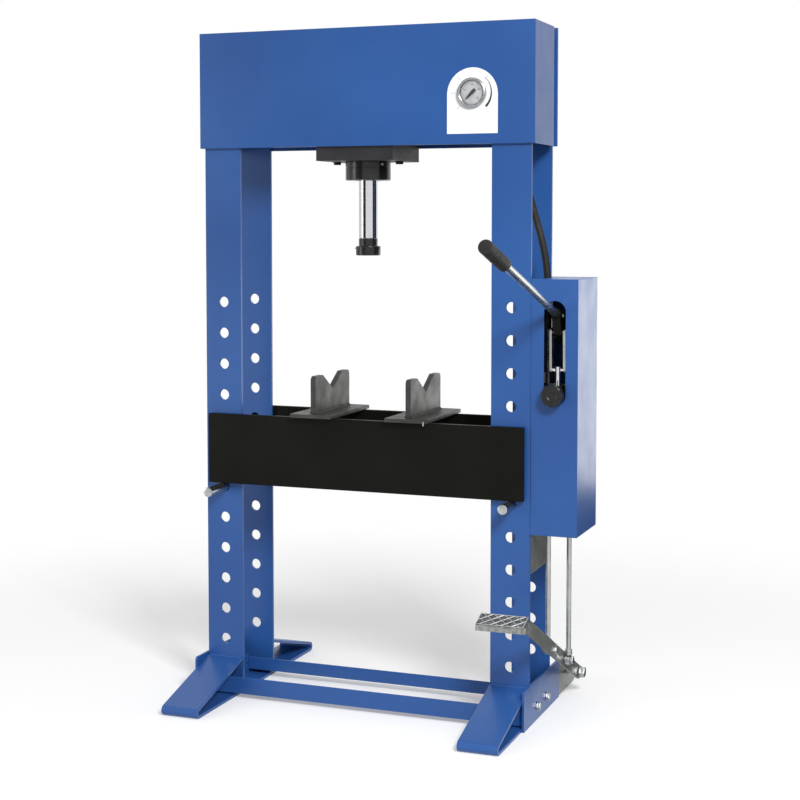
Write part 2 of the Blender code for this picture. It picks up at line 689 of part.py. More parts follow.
def add_ram(slide):
    piston_bottom = BARREL_BOTTOM + GLAND_LENGTH + PISTON_DROP + FIT
    piston_top = piston_bottom + PISTON_HEIGHT
    neck = NOSE_BOTTOM + NOSE_HEIGHT + FIT
    base = slide.location.z
    bore = BARREL_BORE_RADIUS - FIT
    profile = [(0, piston_top), (bore, piston_top), (bore, piston_bottom),
               (ROD_RADIUS, piston_bottom), (ROD_RADIUS, neck), (SPIGOT_RADIUS, neck),
               (SPIGOT_RADIUS, neck - SPIGOT_LENGTH), (0, neck - SPIGOT_LENGTH)]
    profile = [(r, z - base) for r, z in profile]
    turned("piston_rod", profile, "Z", (RAM_X, 0, base), slide, "chrome")
    hole = SPIGOT_RADIUS + FIT
    nose_top = NOSE_BOTTOM + NOSE_HEIGHT
    shoulder = NOSE_BOTTOM + NOSE_FOOT_HEIGHT
    floor = neck - SPIGOT_LENGTH - FIT
    edge = NOSE_CHAMFER
    profile = [(hole, nose_top), (ROD_RADIUS, nose_top), (ROD_RADIUS, shoulder + edge),
               (NOSE_RADIUS - edge, shoulder + edge), (NOSE_RADIUS, shoulder),
               (NOSE_RADIUS, NOSE_BOTTOM + edge), (NOSE_RADIUS - edge, NOSE_BOTTOM),
               (0, NOSE_BOTTOM)]
    inner = [(0, floor), (hole, floor), (hole, nose_top)]
    outer = [(r, z - base) for r, z in profile + inner]
    turned("ram_nose", outer, "Z", (RAM_X, 0, base), slide, "black_paint")


def add_gauge(root, needle_axis):
    body, dial, edge = GAUGE_BODY_RADIUS, GAUGE_DIAL_RADIUS, BEZEL_CHAMFER
    bezel, lip = body + GAUGE_LIP, dial + FIT
    profile = [(0, DIAL_HEIGHT), (lip, DIAL_HEIGHT), (lip, GAUGE_FRONT),
               (bezel - edge, GAUGE_FRONT), (bezel, GAUGE_FRONT - edge), (bezel, FIT),
               (body, FIT), (body, -GAUGE_DEPTH), (0, -GAUGE_DEPTH)]
    turned("gauge_case", profile, "Y", (GAUGE_X, BEAM_FACE_Y, GAUGE_Z), root, "black_paint")
    lens_front = BEAM_FACE_Y - GAUGE_FRONT + LENS_SETBACK
    cylinder("gauge_lens", dial, (GAUGE_X, lens_front, GAUGE_Z),
             (GAUGE_X, lens_front + LENS_THICKNESS, GAUGE_Z), "Y", root, "glass", 32)
    shape = hull(circle((0, 0), NEEDLE_HUB, 12)
                 + [(NEEDLE_TAIL, NEEDLE_TAIL_HALF), (NEEDLE_TAIL, -NEEDLE_TAIL_HALF),
                    (-NEEDLE_TIP, NEEDLE_TIP_HALF), (-NEEDLE_TIP, -NEEDLE_TIP_HALF)])
    cos, sin = math.cos(NEEDLE_REST), math.sin(NEEDLE_REST)
    at_rest = [(u * cos - v * sin, u * sin + v * cos) for u, v in shape]
    mesh = outline_mesh("gauge_needle", [at_rest], NEEDLE_THICKNESS, "Y")
    place = (GAUGE_X, BEAM_FACE_Y - DIAL_HEIGHT - NEEDLE_LIFT, GAUGE_Z)
    settle(new_object("gauge_needle", mesh), place, needle_axis, "black_paint")


# Pump

def add_housing(root):
    right = HOUSING_X + HOUSING_WIDTH
    housing = box("pump_housing", (HOUSING_X, FRONT_Y, HOUSING_BOTTOM),
                  (right, BACK_Y, HOUSING_TOP), root, "blue_paint")
    wall, margin = HOUSING_WALL, CUT_MARGIN
    size = (HOUSING_WIDTH - wall + margin, FRAME_DEPTH - 2 * wall,
            HOUSING_TOP - HOUSING_BOTTOM - wall + margin)
    middle = (right - wall - size[0] / 2, 0, HOUSING_TOP - wall - size[2] / 2)
    hollow = cutter("housing_hollow", box_mesh("housing_hollow", size), middle, (0, 0, 0), root)
    combine(housing, hollow, "DIFFERENCE")
    opening = slot((PUMP_X, (SLOT_TOP + SLOT_BOTTOM) / 2), SLOT_WIDTH, SLOT_TOP - SLOT_BOTTOM)
    shape = outline_mesh("lever_slot", [opening], 4 * wall, "Y")
    combine(housing, cutter("lever_slot", shape, (0, FRONT_Y, 0), (0, 0, 0), root), "DIFFERENCE")
    notch = box_mesh("hose_notch", (2 * HOSE_NOTCH_WIDTH, HOSE_NOTCH_DEPTH, 4 * wall))
    at = (HOUSING_X, hose_route()[0][1], HOUSING_TOP)
    combine(housing, cutter("hose_notch", notch, at, (0, 0, 0), root), "DIFFERENCE")


MOUNT_PLATE_SLOTS = [slot((0.055, HOUSING_BOTTOM - 0.012), 0.005, 0.055),
                     slot((-0.055, HOUSING_BOTTOM - 0.055), 0.012, 0.007)]


def add_pump(root):
    inner = PUMP_INNER_X - MOUNT_PLATE_THICKNESS
    half = FRAME_DEPTH / 2 - BAR_THICKNESS - FIT
    edge = rectangle((-half, MOUNT_PLATE_BOTTOM), (half, HOUSING_TOP - MOUNT_PLATE_SHORT))
    plate("pump_mount_plate", [edge] + MOUNT_PLATE_SLOTS, inner, PUMP_INNER_X, "X", root, "zinc")
    low = (PUMP_INNER_X + FIT, PUMP_FRONT_Y, PUMP_BODY_BOTTOM)
    high = (PUMP_INNER_X + FIT + PUMP_BODY_WIDTH, PUMP_FRONT_Y + PUMP_BODY_DEPTH, PUMP_BODY_TOP)
    body = box("pump_body", low, high, root, "black_paint")
    bore = cylinder_mesh("plunger_bore", PLUNGER_RADIUS + FIT, 2 * PLUNGER_LENGTH)
    at = (PUMP_X, PLUNGER_Y, CROSSHEAD_Z - PLUNGER_STROKE - BORE_FLOOR)
    combine(body, cutter("plunger_bore", bore, at, (0, 0, 0), root), "DIFFERENCE")
    seat = cylinder_mesh("valve_seat", KNOB_STEM_RADIUS + FIT, 2 * (KNOB_SEAT + FIT))
    at = (PUMP_X, PUMP_FRONT_Y, KNOB_Z)
    turn = AXIS_TURN["Y"]
    combine(body, cutter("valve_seat", seat, at, turn, root), "DIFFERENCE")
    top = PUMP_BODY_BOTTOM - FIT
    half = FRAME_DEPTH / 2 - RESERVOIR_CLEARANCE
    low = (PUMP_INNER_X + FIT, -half, top - RESERVOIR_HEIGHT)
    high = (PUMP_INNER_X + FIT + RESERVOIR_WIDTH, half, top)
    box("oil_reservoir", low, high, root, "black_paint")


def add_yoke(root):
    """The fork that carries the lever's pivot, and the fixed pivot pin."""
    half = YOKE_WIDTH / 2 - YOKE_THICKNESS / 2
    floor = PUMP_BODY_TOP + FIT + YOKE_THICKNESS / 2
    top = PIVOT_Z + YOKE_RISE
    path = [(PUMP_X - half, top), (PUMP_X - half, floor), (PUMP_X + half, floor),
            (PUMP_X + half, top)]
    low, high = PIVOT_Y - YOKE_DEPTH / 2, PIVOT_Y + YOKE_DEPTH / 2
    yoke = plate("lever_yoke", [ribbon(path, YOKE_THICKNESS)], low, high, "Y", root, "zinc")
    hole = cylinder_mesh("pivot_hole", PIVOT_PIN_RADIUS + FIT, 2 * YOKE_WIDTH, 20)
    at = (PUMP_X, PIVOT_Y, PIVOT_Z)
    combine(yoke, cutter("pivot_hole", hole, at, AXIS_TURN["X"], root), "DIFFERENCE")
    reach = YOKE_WIDTH / 2 + PIN_END
    cylinder("lever_pivot_pin", PIVOT_PIN_RADIUS, (PUMP_X - reach, PIVOT_Y, PIVOT_Z),
             (PUMP_X + reach, PIVOT_Y, PIVOT_Z), "X", root, "zinc", 20)


def add_release_knob(axis):
    """The round knob that opens the release valve, and its stem."""
    length, front = KNOB_LENGTH, -KNOB_LENGTH / 2
    stem_end = PUMP_FRONT_Y + KNOB_SEAT - (FRONT_Y - KNOB_GAP - KNOB_LENGTH / 2)
    edge = KNOB_EDGE
    profile = [(0, length / 2), (KNOB_RADIUS - edge, length / 2),
               (KNOB_RADIUS, length / 2 - edge), (KNOB_RADIUS, front + edge),
               (KNOB_RADIUS - edge, front), (KNOB_STEM_RADIUS, front),
               (KNOB_STEM_RADIUS, -stem_end), (0, -stem_end)]
    turned("release_knob", profile, "Y", tuple(axis.location), axis, "plastic")


def hose_route():
    """Points of the hose, from the pump body up to the cylinder's port."""
    x, y = HOUSING_X + 0.0155, -0.006
    start, rise = PUMP_BODY_TOP + FIT, BEAM_BOTTOM - HOUSING_TOP
    port = RAM_X + BARREL_RADIUS + FIT
    port_z = BARREL_TOP - HOSE_PORT_DROP
    run = COLUMN_X - port
    return [(x, y, start), (x, y, (start + HOUSING_TOP) / 2), (x, y, HOUSING_TOP),
            (x - 0.013, y, HOUSING_TOP + 0.26 * rise), (OUTER_X - 0.025, y, HOUSING_TOP + 0.56 * rise),
            (OUTER_X - 0.055, y, HOUSING_TOP + 0.85 * rise), (port + 0.86 * run, y, BEAM_BOTTOM + 0.040),
            (port + 0.66 * run, y, BEAM_BOTTOM + 0.120), (port + 0.40 * run, y, port_z - 0.020),
            (port + 0.16 * run, y, port_z), (port, y, port_z)]


def add_hose(root):
    curve = bpy.data.curves.new("hydraulic_hose", "CURVE")
    curve.dimensions = "3D"
    curve.bevel_depth = HOSE_RADIUS
    curve.bevel_resolution = 2
    curve.use_fill_caps = True
    spline = curve.splines.new("POLY")
    points = smooth_route(hose_route(), 4)
    spline.points.add(len(points) - 1)
    for point, place in zip(spline.points, points):
        point.co = (*place, 1.0)
    hose = bpy.data.objects.new("hydraulic_hose", curve)
    PARTS.objects.link(hose)
    hose.parent = root
    curve.materials.append(MATERIALS["rubber"])


def smooth_route(points, count):
    """Points along one smooth curve through the given ones."""
    route = [Vector(p) for p in points]
    ends = [route[0] * 2 - route[1]] + route + [route[-1] * 2 - route[-2]]
    smooth = []
    for a, b, c, d in zip(ends, ends[1:], ends[2:], ends[3:]):
        for i in range(count):
            t = i / count
            smooth.append((b * 2 + (c - a) * t + (a * 2 - b * 5 + c * 4 - d) * t ** 2
                           + (b * 3 - a - c * 3 + d) * t ** 3) / 2)
    return smooth + [route[-1]]


# Hand lever and links

def along_bar(reach):
    """A place on the lever bar's axis, that far forward of the pivot."""
    y = PIVOT_Y - reach * math.cos(LEVER_ANGLE) + LEVER_OFFSET * math.sin(LEVER_ANGLE)
    z = PIVOT_Z + reach * math.sin(LEVER_ANGLE) + LEVER_OFFSET * math.cos(LEVER_ANGLE)
    return y, z


def bar_piece(name, radius, start, end, collection=PARTS, segments=24):
    """A round bar that lies along the lever, as an object and its middle."""
    mesh = cylinder_mesh(name, radius, end - start, segments)
    y, z = along_bar((start + end) / 2)
    item = new_object(name, mesh, collection)
    item.rotation_euler = (math.pi / 2 - LEVER_ANGLE, 0, 0)
    return item, (PUMP_X, y, z)


def add_lever(axis):
    points = circle((PIVOT_Y, PIVOT_Z), PIVOT_BOSS_RADIUS) + circle((LINK_Y, LINK_Z), CRANK_BOSS_RADIUS)
    for reach in (SOCKET_BACK + SOCKET_BLEND_RADIUS, SOCKET_FRONT - SOCKET_BLEND_RADIUS):
        points += circle(along_bar(reach), SOCKET_BLEND_RADIUS)
    holes = [circle((PIVOT_Y, PIVOT_Z), PIVOT_PIN_RADIUS + HOLE_FIT),
             circle((LINK_Y, LINK_Z), LINK_PIN_RADIUS + FIT, 16)]
    outlines = [shift_to(axis, outline) for outline in [hull(points)] + holes]
    mesh = outline_mesh("lever_socket", outlines, CHEEK_WIDTH, "X")
    pivot = (PUMP_X, PIVOT_Y, PIVOT_Z)
    socket = settle(new_object("lever_socket", mesh), pivot, axis, "black_paint")
    sleeve, at = bar_piece("socket_sleeve", SOCKET_RADIUS, SOCKET_BACK, SOCKET_FRONT, CUTTERS)
    place_tool(sleeve, at, axis)
    combine(socket, sleeve, "UNION")
    bore, at = bar_piece("socket_bore", BAR_RADIUS + FIT, BAR_BACK - FIT, SOCKET_FRONT + CUT_MARGIN,
                         CUTTERS)
    place_tool(bore, at, axis)
    combine(socket, bore, "DIFFERENCE")
    bar, at = bar_piece("lever_bar", BAR_RADIUS, BAR_BACK, BAR_FRONT)
    settle(bar, at, axis, "zinc", smooth=True)
    cylinder("link_pin", LINK_PIN_RADIUS, (PUMP_X - CROSS_PIN_HALF, LINK_Y, LINK_Z),
             (PUMP_X + CROSS_PIN_HALF, LINK_Y, LINK_Z), "X", axis, "zinc", 16)
    add_grip(axis)


def add_grip(axis):
    """The sleeve pushed over the bar's front end. Its profile runs from front to back."""
    edge, hole = GRIP_EDGE, BAR_RADIUS + FIT
    profile = [(0, GRIP_LENGTH), (GRIP_RADIUS - edge, GRIP_LENGTH),
               (GRIP_RADIUS, GRIP_LENGTH - edge), (GRIP_RADIUS, edge), (GRIP_RADIUS - edge, 0),
               (hole, 0), (hole, GRIP_LENGTH - GRIP_END), (0, GRIP_LENGTH - GRIP_END)]
    y, z = along_bar(BAR_FRONT + FIT + GRIP_END - GRIP_LENGTH)
    grip = turned("lever_grip", profile, "Z", (PUMP_X, y, z), axis, "rubber", 24)
    grip.rotation_euler = (math.pi / 2 - LEVER_ANGLE, 0, 0)


def shift_to(axis, outline):
    """An outline in Y and Z, measured from the joint's empty."""
    return [(y - axis.location.y, z - axis.location.z) for y, z in outline]


def place_tool(item, at, parent):
    item.parent = parent
    item.location = press_point(*at, parent)
    item.display_type = "WIRE"
    item.hide_render = True


def add_plunger(axis):
    """The plunger, its cross pin and the two slotted links, which all slide as one."""
    foot = CROSSHEAD_Z - PLUNGER_LENGTH
    crosshead = (PLUNGER_Y, CROSSHEAD_Z)
    plunger = cylinder("pump_plunger", PLUNGER_RADIUS, (PUMP_X, PLUNGER_Y, foot),
                       (PUMP_X, PLUNGER_Y, CROSSHEAD_Z + PLUNGER_RADIUS), "Z", axis, "chrome")
    cross = cylinder_mesh("crosshead_pin", CROSSHEAD_RADIUS, 2 * CROSS_PIN_HALF, 20)
    at = (PUMP_X, *crosshead)
    combine(plunger, cutter("crosshead_pin", cross, at, AXIS_TURN["X"], axis), "UNION")
    top = (PLUNGER_Y, LINK_Z)
    ends = circle(crosshead, LINK_WIDTH / 2) + circle(top, LINK_WIDTH / 2 + LINK_HEAD)
    bore = 2 * LINK_PIN_RADIUS
    holes = [circle(crosshead, CROSSHEAD_RADIUS + FIT, 16),
             slot(top, bore + LINK_SLOT_PLAY, bore + LINK_SLOT_FIT)]
    outlines = [shift_to(axis, outline) for outline in [hull(ends)] + holes]
    for side, sign in (("left", -1), ("right", 1)):
        mesh = outline_mesh(f"link_{side}", outlines, LINK_THICKNESS, "X")
        x = PUMP_X + sign * (LINK_GAP + LINK_THICKNESS) / 2
        settle(new_object(f"link_{side}", mesh), (x, *axis.location.yz), axis, "zinc")


# Pedal

def on_arm(back, lift=0.0):
    """A place above the pedal arm's middle line, measured forward from its pivot."""
    return PEDAL_PIVOT_Y - back, PEDAL_PIVOT_Z + back * PEDAL_RISE + lift


def add_pedal_bracket(root):
    front = SIDE_PLATE_END + FIT
    low, top = BRACKET_BOTTOM, PEDAL_PIVOT_Z + BRACKET_MARGIN
    end = front + BRACKET_LENGTH
    edge = [(front, low), (end, low), (end, BRACKET_END_TOP),
            (PEDAL_PIVOT_Y + BRACKET_MARGIN, top), (front, top)]
    shank = PEDAL_STUD[0]
    hole = circle((PEDAL_PIVOT_Y, PEDAL_PIVOT_Z), shank + HOLE_FIT, 16)
    plate("pedal_bracket", [edge, hole], SIDE_PLATE_X, SIDE_PLATE_OUTER, "X", root, "zinc")
    head_x = PEDAL_ARM_OUTER + STUD_HEAD_GAP
    shoulder = (shank + STUD_SHOULDER, head_x - PEDAL_ARM_X + FIT, head_x - SIDE_PLATE_OUTER - FIT)
    hex_bolt("pedal_pivot_stud", PEDAL_STUD, head_x - SIDE_PLATE_X,
             (head_x, PEDAL_PIVOT_Y, PEDAL_PIVOT_Z), (0, math.pi / 2, 0), root, shoulder)


def add_pedal(axis):
    pivot = (PEDAL_PIVOT_Y, PEDAL_PIVOT_Z)
    half = PEDAL_ARM_WIDTH / 2 / math.cos(math.atan(PEDAL_RISE))
    top_corner = on_arm(PEDAL_ARM_REACH, half)
    low_corner = on_arm(PEDAL_ARM_REACH + PEDAL_ARM_SLANT, -half)
    edge = hull(circle(pivot, PEDAL_ARM_WIDTH / 2) + [top_corner, low_corner])
    holes = [circle(pivot, PEDAL_STUD[0] + HOLE_FIT, 16)]
    holes += [circle(on_arm(back), EYE_BOLT[0] + HOLE_FIT, 12)
              for back in (PULL_ROD_BACK, RETURN_ROD_BACK)]
    outlines = [shift_to(axis, outline) for outline in [edge] + holes]
    mesh = outline_mesh("pedal_arm", outlines, PEDAL_ARM_THICKNESS, "X")
    x = PEDAL_ARM_X + PEDAL_ARM_THICKNESS / 2
    settle(new_object("pedal_arm", mesh), (x, *axis.location.yz), axis, "zinc")
    back_y, back_z = top_corner[0] + TREAD_BACK, top_corner[1] + TREAD_THICKNESS
    front_y = back_y - TREAD_DEPTH * math.cos(TREAD_TILT)
    front_z = back_z - TREAD_DEPTH * math.sin(TREAD_TILT)
    path = [(back_y, back_z), (front_y, front_z), (front_y - TREAD_LIP_LEAN, front_z - TREAD_LIP)]
    outline = shift_to(axis, ribbon(path, TREAD_THICKNESS))
    mesh = outline_mesh("pedal_tread", [outline], TREAD_WIDTH, "X")
    x = PEDAL_ARM_X - FIT - TREAD_WIDTH / 2
    settle(new_object("pedal_tread", mesh), (x, *axis.location.yz), axis, "zinc")


def add_eye_bolts(axis):
    """The bolts that carry the two rods, one on each side of the arm."""
    for name, back, gap, face, sign in (
            ("pull_rod_bolt", PULL_ROD_BACK, PULL_ROD_GAP, PEDAL_ARM_OUTER, 1),
            ("return_rod_bolt", RETURN_ROD_BACK, RETURN_ROD_GAP, PEDAL_ARM_X, -1)):
        head = gap + ROD_EYE_WIDTH + 2 * FIT
        shoulder = (EYE_BOLT[0] + EYE_BOLT_SHOULDER, ROD_EYE_WIDTH + 3 * FIT, head - FIT)
        length = head + PEDAL_ARM_THICKNESS + EYE_BOLT_END
        place = (face + sign * head, *on_arm(back))
        hex_bolt(name, EYE_BOLT, length, place, (0, sign * math.pi / 2, 0), axis, shoulder)


def add_rod(name, axis, x):
    """A round rod with an eye at its foot, whose origin is the eye."""
    y, z = eye_position(axis)
    rod = new_object(name, cylinder_mesh(name, ROD_EYE_RADIUS, ROD_EYE_WIDTH, 24))
    rod.rotation_euler = AXIS_TURN["X"]
    settle(rod, (x, y, z), axis, "zinc", smooth=True)
    length = ROD_TOP - z
    bar = cylinder_mesh(name + "_bar", ROD_RADIUS_PEDAL, length, 16)
    at = (x, y, z + length / 2)
    combine(rod, cutter(name + "_bar", bar, at, (0, 0, 0), axis), "UNION")
    hole = cylinder_mesh(name + "_eye", EYE_BOLT[0] + FIT, 2 * ROD_EYE_WIDTH, 16)
    combine(rod, cutter(name + "_eye", hole, (x, y, z), AXIS_TURN["X"], axis), "DIFFERENCE")


def eye_position(axis):
    """The eye's place in the press, from its empty and the empties above it."""
    place = Vector((0, 0, 0))
    while axis.parent is not None:
        place += axis.location
        axis = axis.parent
    return place.y, place.z


# Bed

def add_bed(slide):
    inner, outer = BED_INNER_Y, BED_INNER_Y + BED_PLATE
    for row, sign in (("front", -1), ("back", 1)):
        near, far = sorted((sign * inner, sign * outer))
        box(f"bed_{row}_plate", (-BED_HALF_LENGTH, near, BED_BOTTOM),
            (BED_HALF_LENGTH, far, BED_TOP), slide, "black_paint")
    low, high = BED_BOTTOM + SPACER_SHORT / 2, BED_TOP - SPACER_SHORT / 2
    half_x, half_y = SPACER_THICKNESS / 2, inner - FIT
    for side, sign in (("left", -1), ("right", 1)):
        x = sign * (INNER_X - SPACER_INSET)
        box(f"bed_spacer_{side}", (x - half_x, -half_y, low), (x + half_x, half_y, high),
            slide, "black_paint")


def add_bed_pin(name, x, out, slide):
    front = FRONT_Y - out
    pin = cylinder(name, PIN_RADIUS, (x, front, PIN_Z), (x, front + PIN_LENGTH, PIN_Z),
                   "Y", slide, "zinc", 24)
    chamfer = pin.modifiers.new("chamfer", "BEVEL")
    chamfer.width = PIN_CHAMFER
    chamfer.segments = 1
    chamfer.limit_method = "ANGLE"


def v_outline():
    """The upright's edge in Y and Z, with its notch and round corners."""
    half, notch = V_UPRIGHT_END, V_NOTCH_WIDTH / 2
    foot, top, r = BED_TOP + V_BASE_THICKNESS - V_JOINT, BED_TOP + V_TOP, V_CORNER
    right = [(half, foot)] + arc((half - r, top - r), r, 0, math.pi / 2, 4) + [(notch, top)]
    left = [(-y, z) for y, z in reversed(right)]
    return right + [(0.0, top - V_NOTCH_DEPTH)] + left


def add_v_block(name, x, slide):
    base = BED_TOP + FIT
    low = (x - V_BASE_WIDTH / 2, -V_BASE_END, base)
    high = (x + V_BASE_WIDTH / 2, V_BASE_END, base + V_BASE_THICKNESS)
    block = box(name, low, high, slide, "bare_steel")
    mesh = outline_mesh(name + "_upright", [v_outline()], V_UPRIGHT_THICKNESS, "X")
    combine(block, cutter(name + "_upright", mesh, (x, 0, 0), (0, 0, 0), slide), "UNION")


# Whole press

def stand_on_origin(root):
    """Moves the press so that its box stands centred on the world origin."""
    bpy.context.view_layer.update()
    graph = bpy.context.evaluated_depsgraph_get()
    corners = []
    for item in PARTS.objects:
        if item.type != "EMPTY":
            solid = item.evaluated_get(graph)
            mesh = solid.to_mesh()
            corners += [item.matrix_world @ v.co for v in mesh.vertices]
            solid.to_mesh_clear()
    low = [min(c[i] for c in corners) for i in range(2)]
    high = [max(c[i] for c in corners) for i in range(2)]
    root.location = (-(low[0] + high[0]) / 2, -(low[1] + high[1]) / 2, 0)


def build_frame(root):
    add_columns(root)
    add_feet(root)
    add_side_plates(root)
    add_rails(root)
    add_beam(root)
    add_cylinder(root)
    add_ram(empty("ram_slide", (RAM_X, 0, NOSE_BOTTOM), root))
    add_gauge(root, empty("needle_axis", (GAUGE_X, BEAM_FACE_Y, GAUGE_Z), root))


def build_pump(root):
    add_housing(root)
    add_pump(root)
    add_yoke(root)
    add_hose(root)
    knob_y = FRONT_Y - KNOB_GAP - KNOB_LENGTH / 2
    add_release_knob(empty("knob_axis", (PUMP_X, knob_y, KNOB_Z), root))
    add_lever(empty("lever_axis", (PUMP_X, PIVOT_Y, PIVOT_Z), root))
    add_plunger(empty("plunger_slide", (PUMP_X, PLUNGER_Y, CROSSHEAD_Z), root))


def build_pedal(root):
    add_pedal_bracket(root)
    pedal = empty("pedal_axis", (PEDAL_ARM_X, PEDAL_PIVOT_Y, PEDAL_PIVOT_Z), root)
    add_pedal(pedal)
    add_eye_bolts(pedal)
    half_eye = FIT + ROD_EYE_WIDTH / 2
    for name, back, x in (
            ("pull_rod", PULL_ROD_BACK, PEDAL_ARM_OUTER + PULL_ROD_GAP + half_eye),
            ("return_rod", RETURN_ROD_BACK, PEDAL_ARM_X - RETURN_ROD_GAP - half_eye)):
        at = press_point(x, *on_arm(back), pedal)
        add_rod(name, empty(name + "_axis", at, pedal), x)


def build_bed(root):
    bed = empty("bed_slide", (0, 0, BED_BOTTOM), root)
    add_bed(bed)
    for side, sign, out in (("left", -1, PIN_LEFT_OUT), ("right", 1, PIN_RIGHT_OUT)):
        x = sign * V_BLOCK_X
        block_slide = empty(f"v_block_{side}_slide", press_point(x, 0, BED_TOP, bed), bed)
        add_v_block(f"v_block_{side}", x, block_slide)
        pin_slide = empty(f"bed_pin_{side}_slide", (sign * COLUMN_X, 0, PIN_Z), root)
        add_bed_pin(f"bed_pin_{side}", sign * COLUMN_X, out, pin_slide)


def build():
    make_materials()
    root = empty("press", (0, 0, 0))
    build_frame(root)
    build_pump(root)
    build_pedal(root)
    build_bed(root)
    stand_on_origin(root)


build()
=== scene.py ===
"""Hydraulic shop press: the finish of every surface, and the small parts round the frame.

Lengths are in metres. Places come from the boxes of the frame's nodes; a part's own sizes
stand beside the function that makes it. X runs to the pump's side, -Y to the front.
"""
import math

import bmesh
import bpy
from mathutils import Matrix, Vector


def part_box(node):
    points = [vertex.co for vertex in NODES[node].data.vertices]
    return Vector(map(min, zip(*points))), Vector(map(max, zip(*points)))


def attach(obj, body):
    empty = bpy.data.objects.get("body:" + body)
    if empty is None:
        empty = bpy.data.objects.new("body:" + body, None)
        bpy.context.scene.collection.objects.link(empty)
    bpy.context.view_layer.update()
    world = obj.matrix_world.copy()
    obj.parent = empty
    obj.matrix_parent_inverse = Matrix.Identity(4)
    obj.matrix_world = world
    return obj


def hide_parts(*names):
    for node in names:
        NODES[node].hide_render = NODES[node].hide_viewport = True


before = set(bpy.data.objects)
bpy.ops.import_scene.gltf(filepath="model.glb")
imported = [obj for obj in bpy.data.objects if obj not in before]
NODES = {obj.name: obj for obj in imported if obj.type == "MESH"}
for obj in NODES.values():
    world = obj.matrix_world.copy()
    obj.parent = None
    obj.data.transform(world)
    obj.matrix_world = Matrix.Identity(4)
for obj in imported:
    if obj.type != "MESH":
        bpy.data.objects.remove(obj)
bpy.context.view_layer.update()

MM = 0.001
FIT = 0.3 * MM           # gap that touching pieces keep
MERGE = 0.01 * MM
CUT_EDGE = 0.8 * MM      # rounding of a sheared or sawn edge under paint
X_AXIS, Y_AXIS, Z_AXIS = Vector((1, 0, 0)), Vector((0, 1, 0)), Vector((0, 0, 1))
FRONT = -Y_AXIS


def span(node):
    """A node's two corners and the middle between them."""
    low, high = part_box(node)
    return low, high, (low + high) / 2


def middle(node):
    return span(node)[2]


# Materials

def srgb(code):
    """An sRGB hex colour as linear RGBA."""
    channels = [int(code[i:i + 2], 16) / 255 for i in (1, 3, 5)]
    linear = [c / 12.92 if c <= 0.04045 else ((c + 0.055) / 1.055) ** 2.4 for c in channels]
    return (*linear, 1.0)


def add_node(tree, kind, inputs=(), **settings):
    """Adds a node. Settings are its own properties; an input takes a value or an output."""
    item = tree.nodes.new("ShaderNode" + kind)
    for name, value in settings.items():
        setattr(item, name, value)
    for name, value in dict(inputs).items():
        if isinstance(value, bpy.types.NodeSocket):
            tree.links.new(value, item.inputs[name])
        else:
            item.inputs[name].default_value = value
    return item


EVEN = (1, 1, 1)                      # stretch of a pattern that runs in no direction
HALF_WAVE = 0.5                       # noise scale of a patch one metre long
NOISE_LOW, NOISE_HIGH = 0.3, 0.7      # where the noise spends nearly all its values


def start_material(name, constants):
    """A new material with these constants on its shader, as (material, tree, shader)."""
    material = bpy.data.materials.new(name)
    material.use_nodes = True
    tree = material.node_tree
    shader = tree.nodes["Principled BSDF"]
    for socket, value in constants.items():
        shader.inputs[socket].default_value = value
    return material, tree, shader


def dress(tree, shader, shade, colours, worn, roughness, height, depth):
    """Lets patterns drive a shader: its colour, its roughness and its relief. Without a pattern
    the roughness is one number, and there is no relief."""
    ends = {"From Min": NOISE_LOW, "From Max": NOISE_HIGH}
    share = add_node(tree, "MapRange", {"Value": shade, **ends})
    mix = add_node(tree, "Mix", {0: share.outputs["Result"], 6: srgb(colours[0]),
                                 7: srgb(colours[1])}, data_type="RGBA")
    tree.links.new(mix.outputs[2], shader.inputs["Base Color"])
    if worn is None:
        shader.inputs["Roughness"].default_value = roughness
    else:
        rough = add_node(tree, "MapRange", {"Value": worn, "To Min": roughness[0],
                                            "To Max": roughness[1], **ends})
        tree.links.new(rough.outputs["Result"], shader.inputs["Roughness"])
    if height is not None:
        bump = add_node(tree, "Bump", {"Height": height, "Distance": depth, "Strength": 1.0})
        tree.links.new(bump.outputs["Normal"], shader.inputs["Normal"])


def surface(name, constants, cloud, colours, wear=None, roughness=0.5, grain=None, depth=0.0):
    """A material whose colour follows one cloudy pattern and its roughness a second, and whose
    surface a third one raises. A pattern is (length of a patch, detail) and, where it runs in a
    direction, its stretch in X, Y and Z."""
    material, tree, shader = start_material(name, constants)
    place = add_node(tree, "TexCoord").outputs["Object"]
    fields = []
    for pattern in (cloud, wear, grain):
        if pattern is None:
            fields.append(None)
            continue
        size, detail, *directed = pattern
        stretch = directed[0] if directed else EVEN
        spread = add_node(tree, "Mapping", {"Vector": place, "Scale": stretch})
        noise = add_node(tree, "TexNoise", {"Vector": spread.outputs["Vector"],
                                            "Scale": HALF_WAVE / size, "Detail": detail})
        fields.append(noise.outputs["Fac"])
    shade, worn, height = fields
    dress(tree, shader, shade, colours, worn, roughness, height, depth)
    return material


# Polyester powder baked on steel: even semi-gloss with a fine orange peel. The real peel is
# 1 to 2 mm wide; it is drawn 6 mm wide so that it shows.
BLUE = surface("blue_powder_coat",
               {"IOR": 1.5, "Specular IOR Level": 0.32, "Coat Weight": 0.12,
                "Coat Roughness": 0.16},
               (220 * MM, 1), ("#254E8E", "#2C5A9C"),
               (40 * MM, 2), (0.30, 0.38), (6 * MM, 3), 0.05 * MM)

# Sprayed black enamel: satin, a little warm, with a dry dusty grain.
BLACK = surface("satin_black_paint", {"IOR": 1.5, "Specular IOR Level": 0.07},
                (90 * MM, 4), ("#10100E", "#171714"),
                (25 * MM, 3), (0.36, 0.48), (3 * MM, 3), 0.04 * MM)

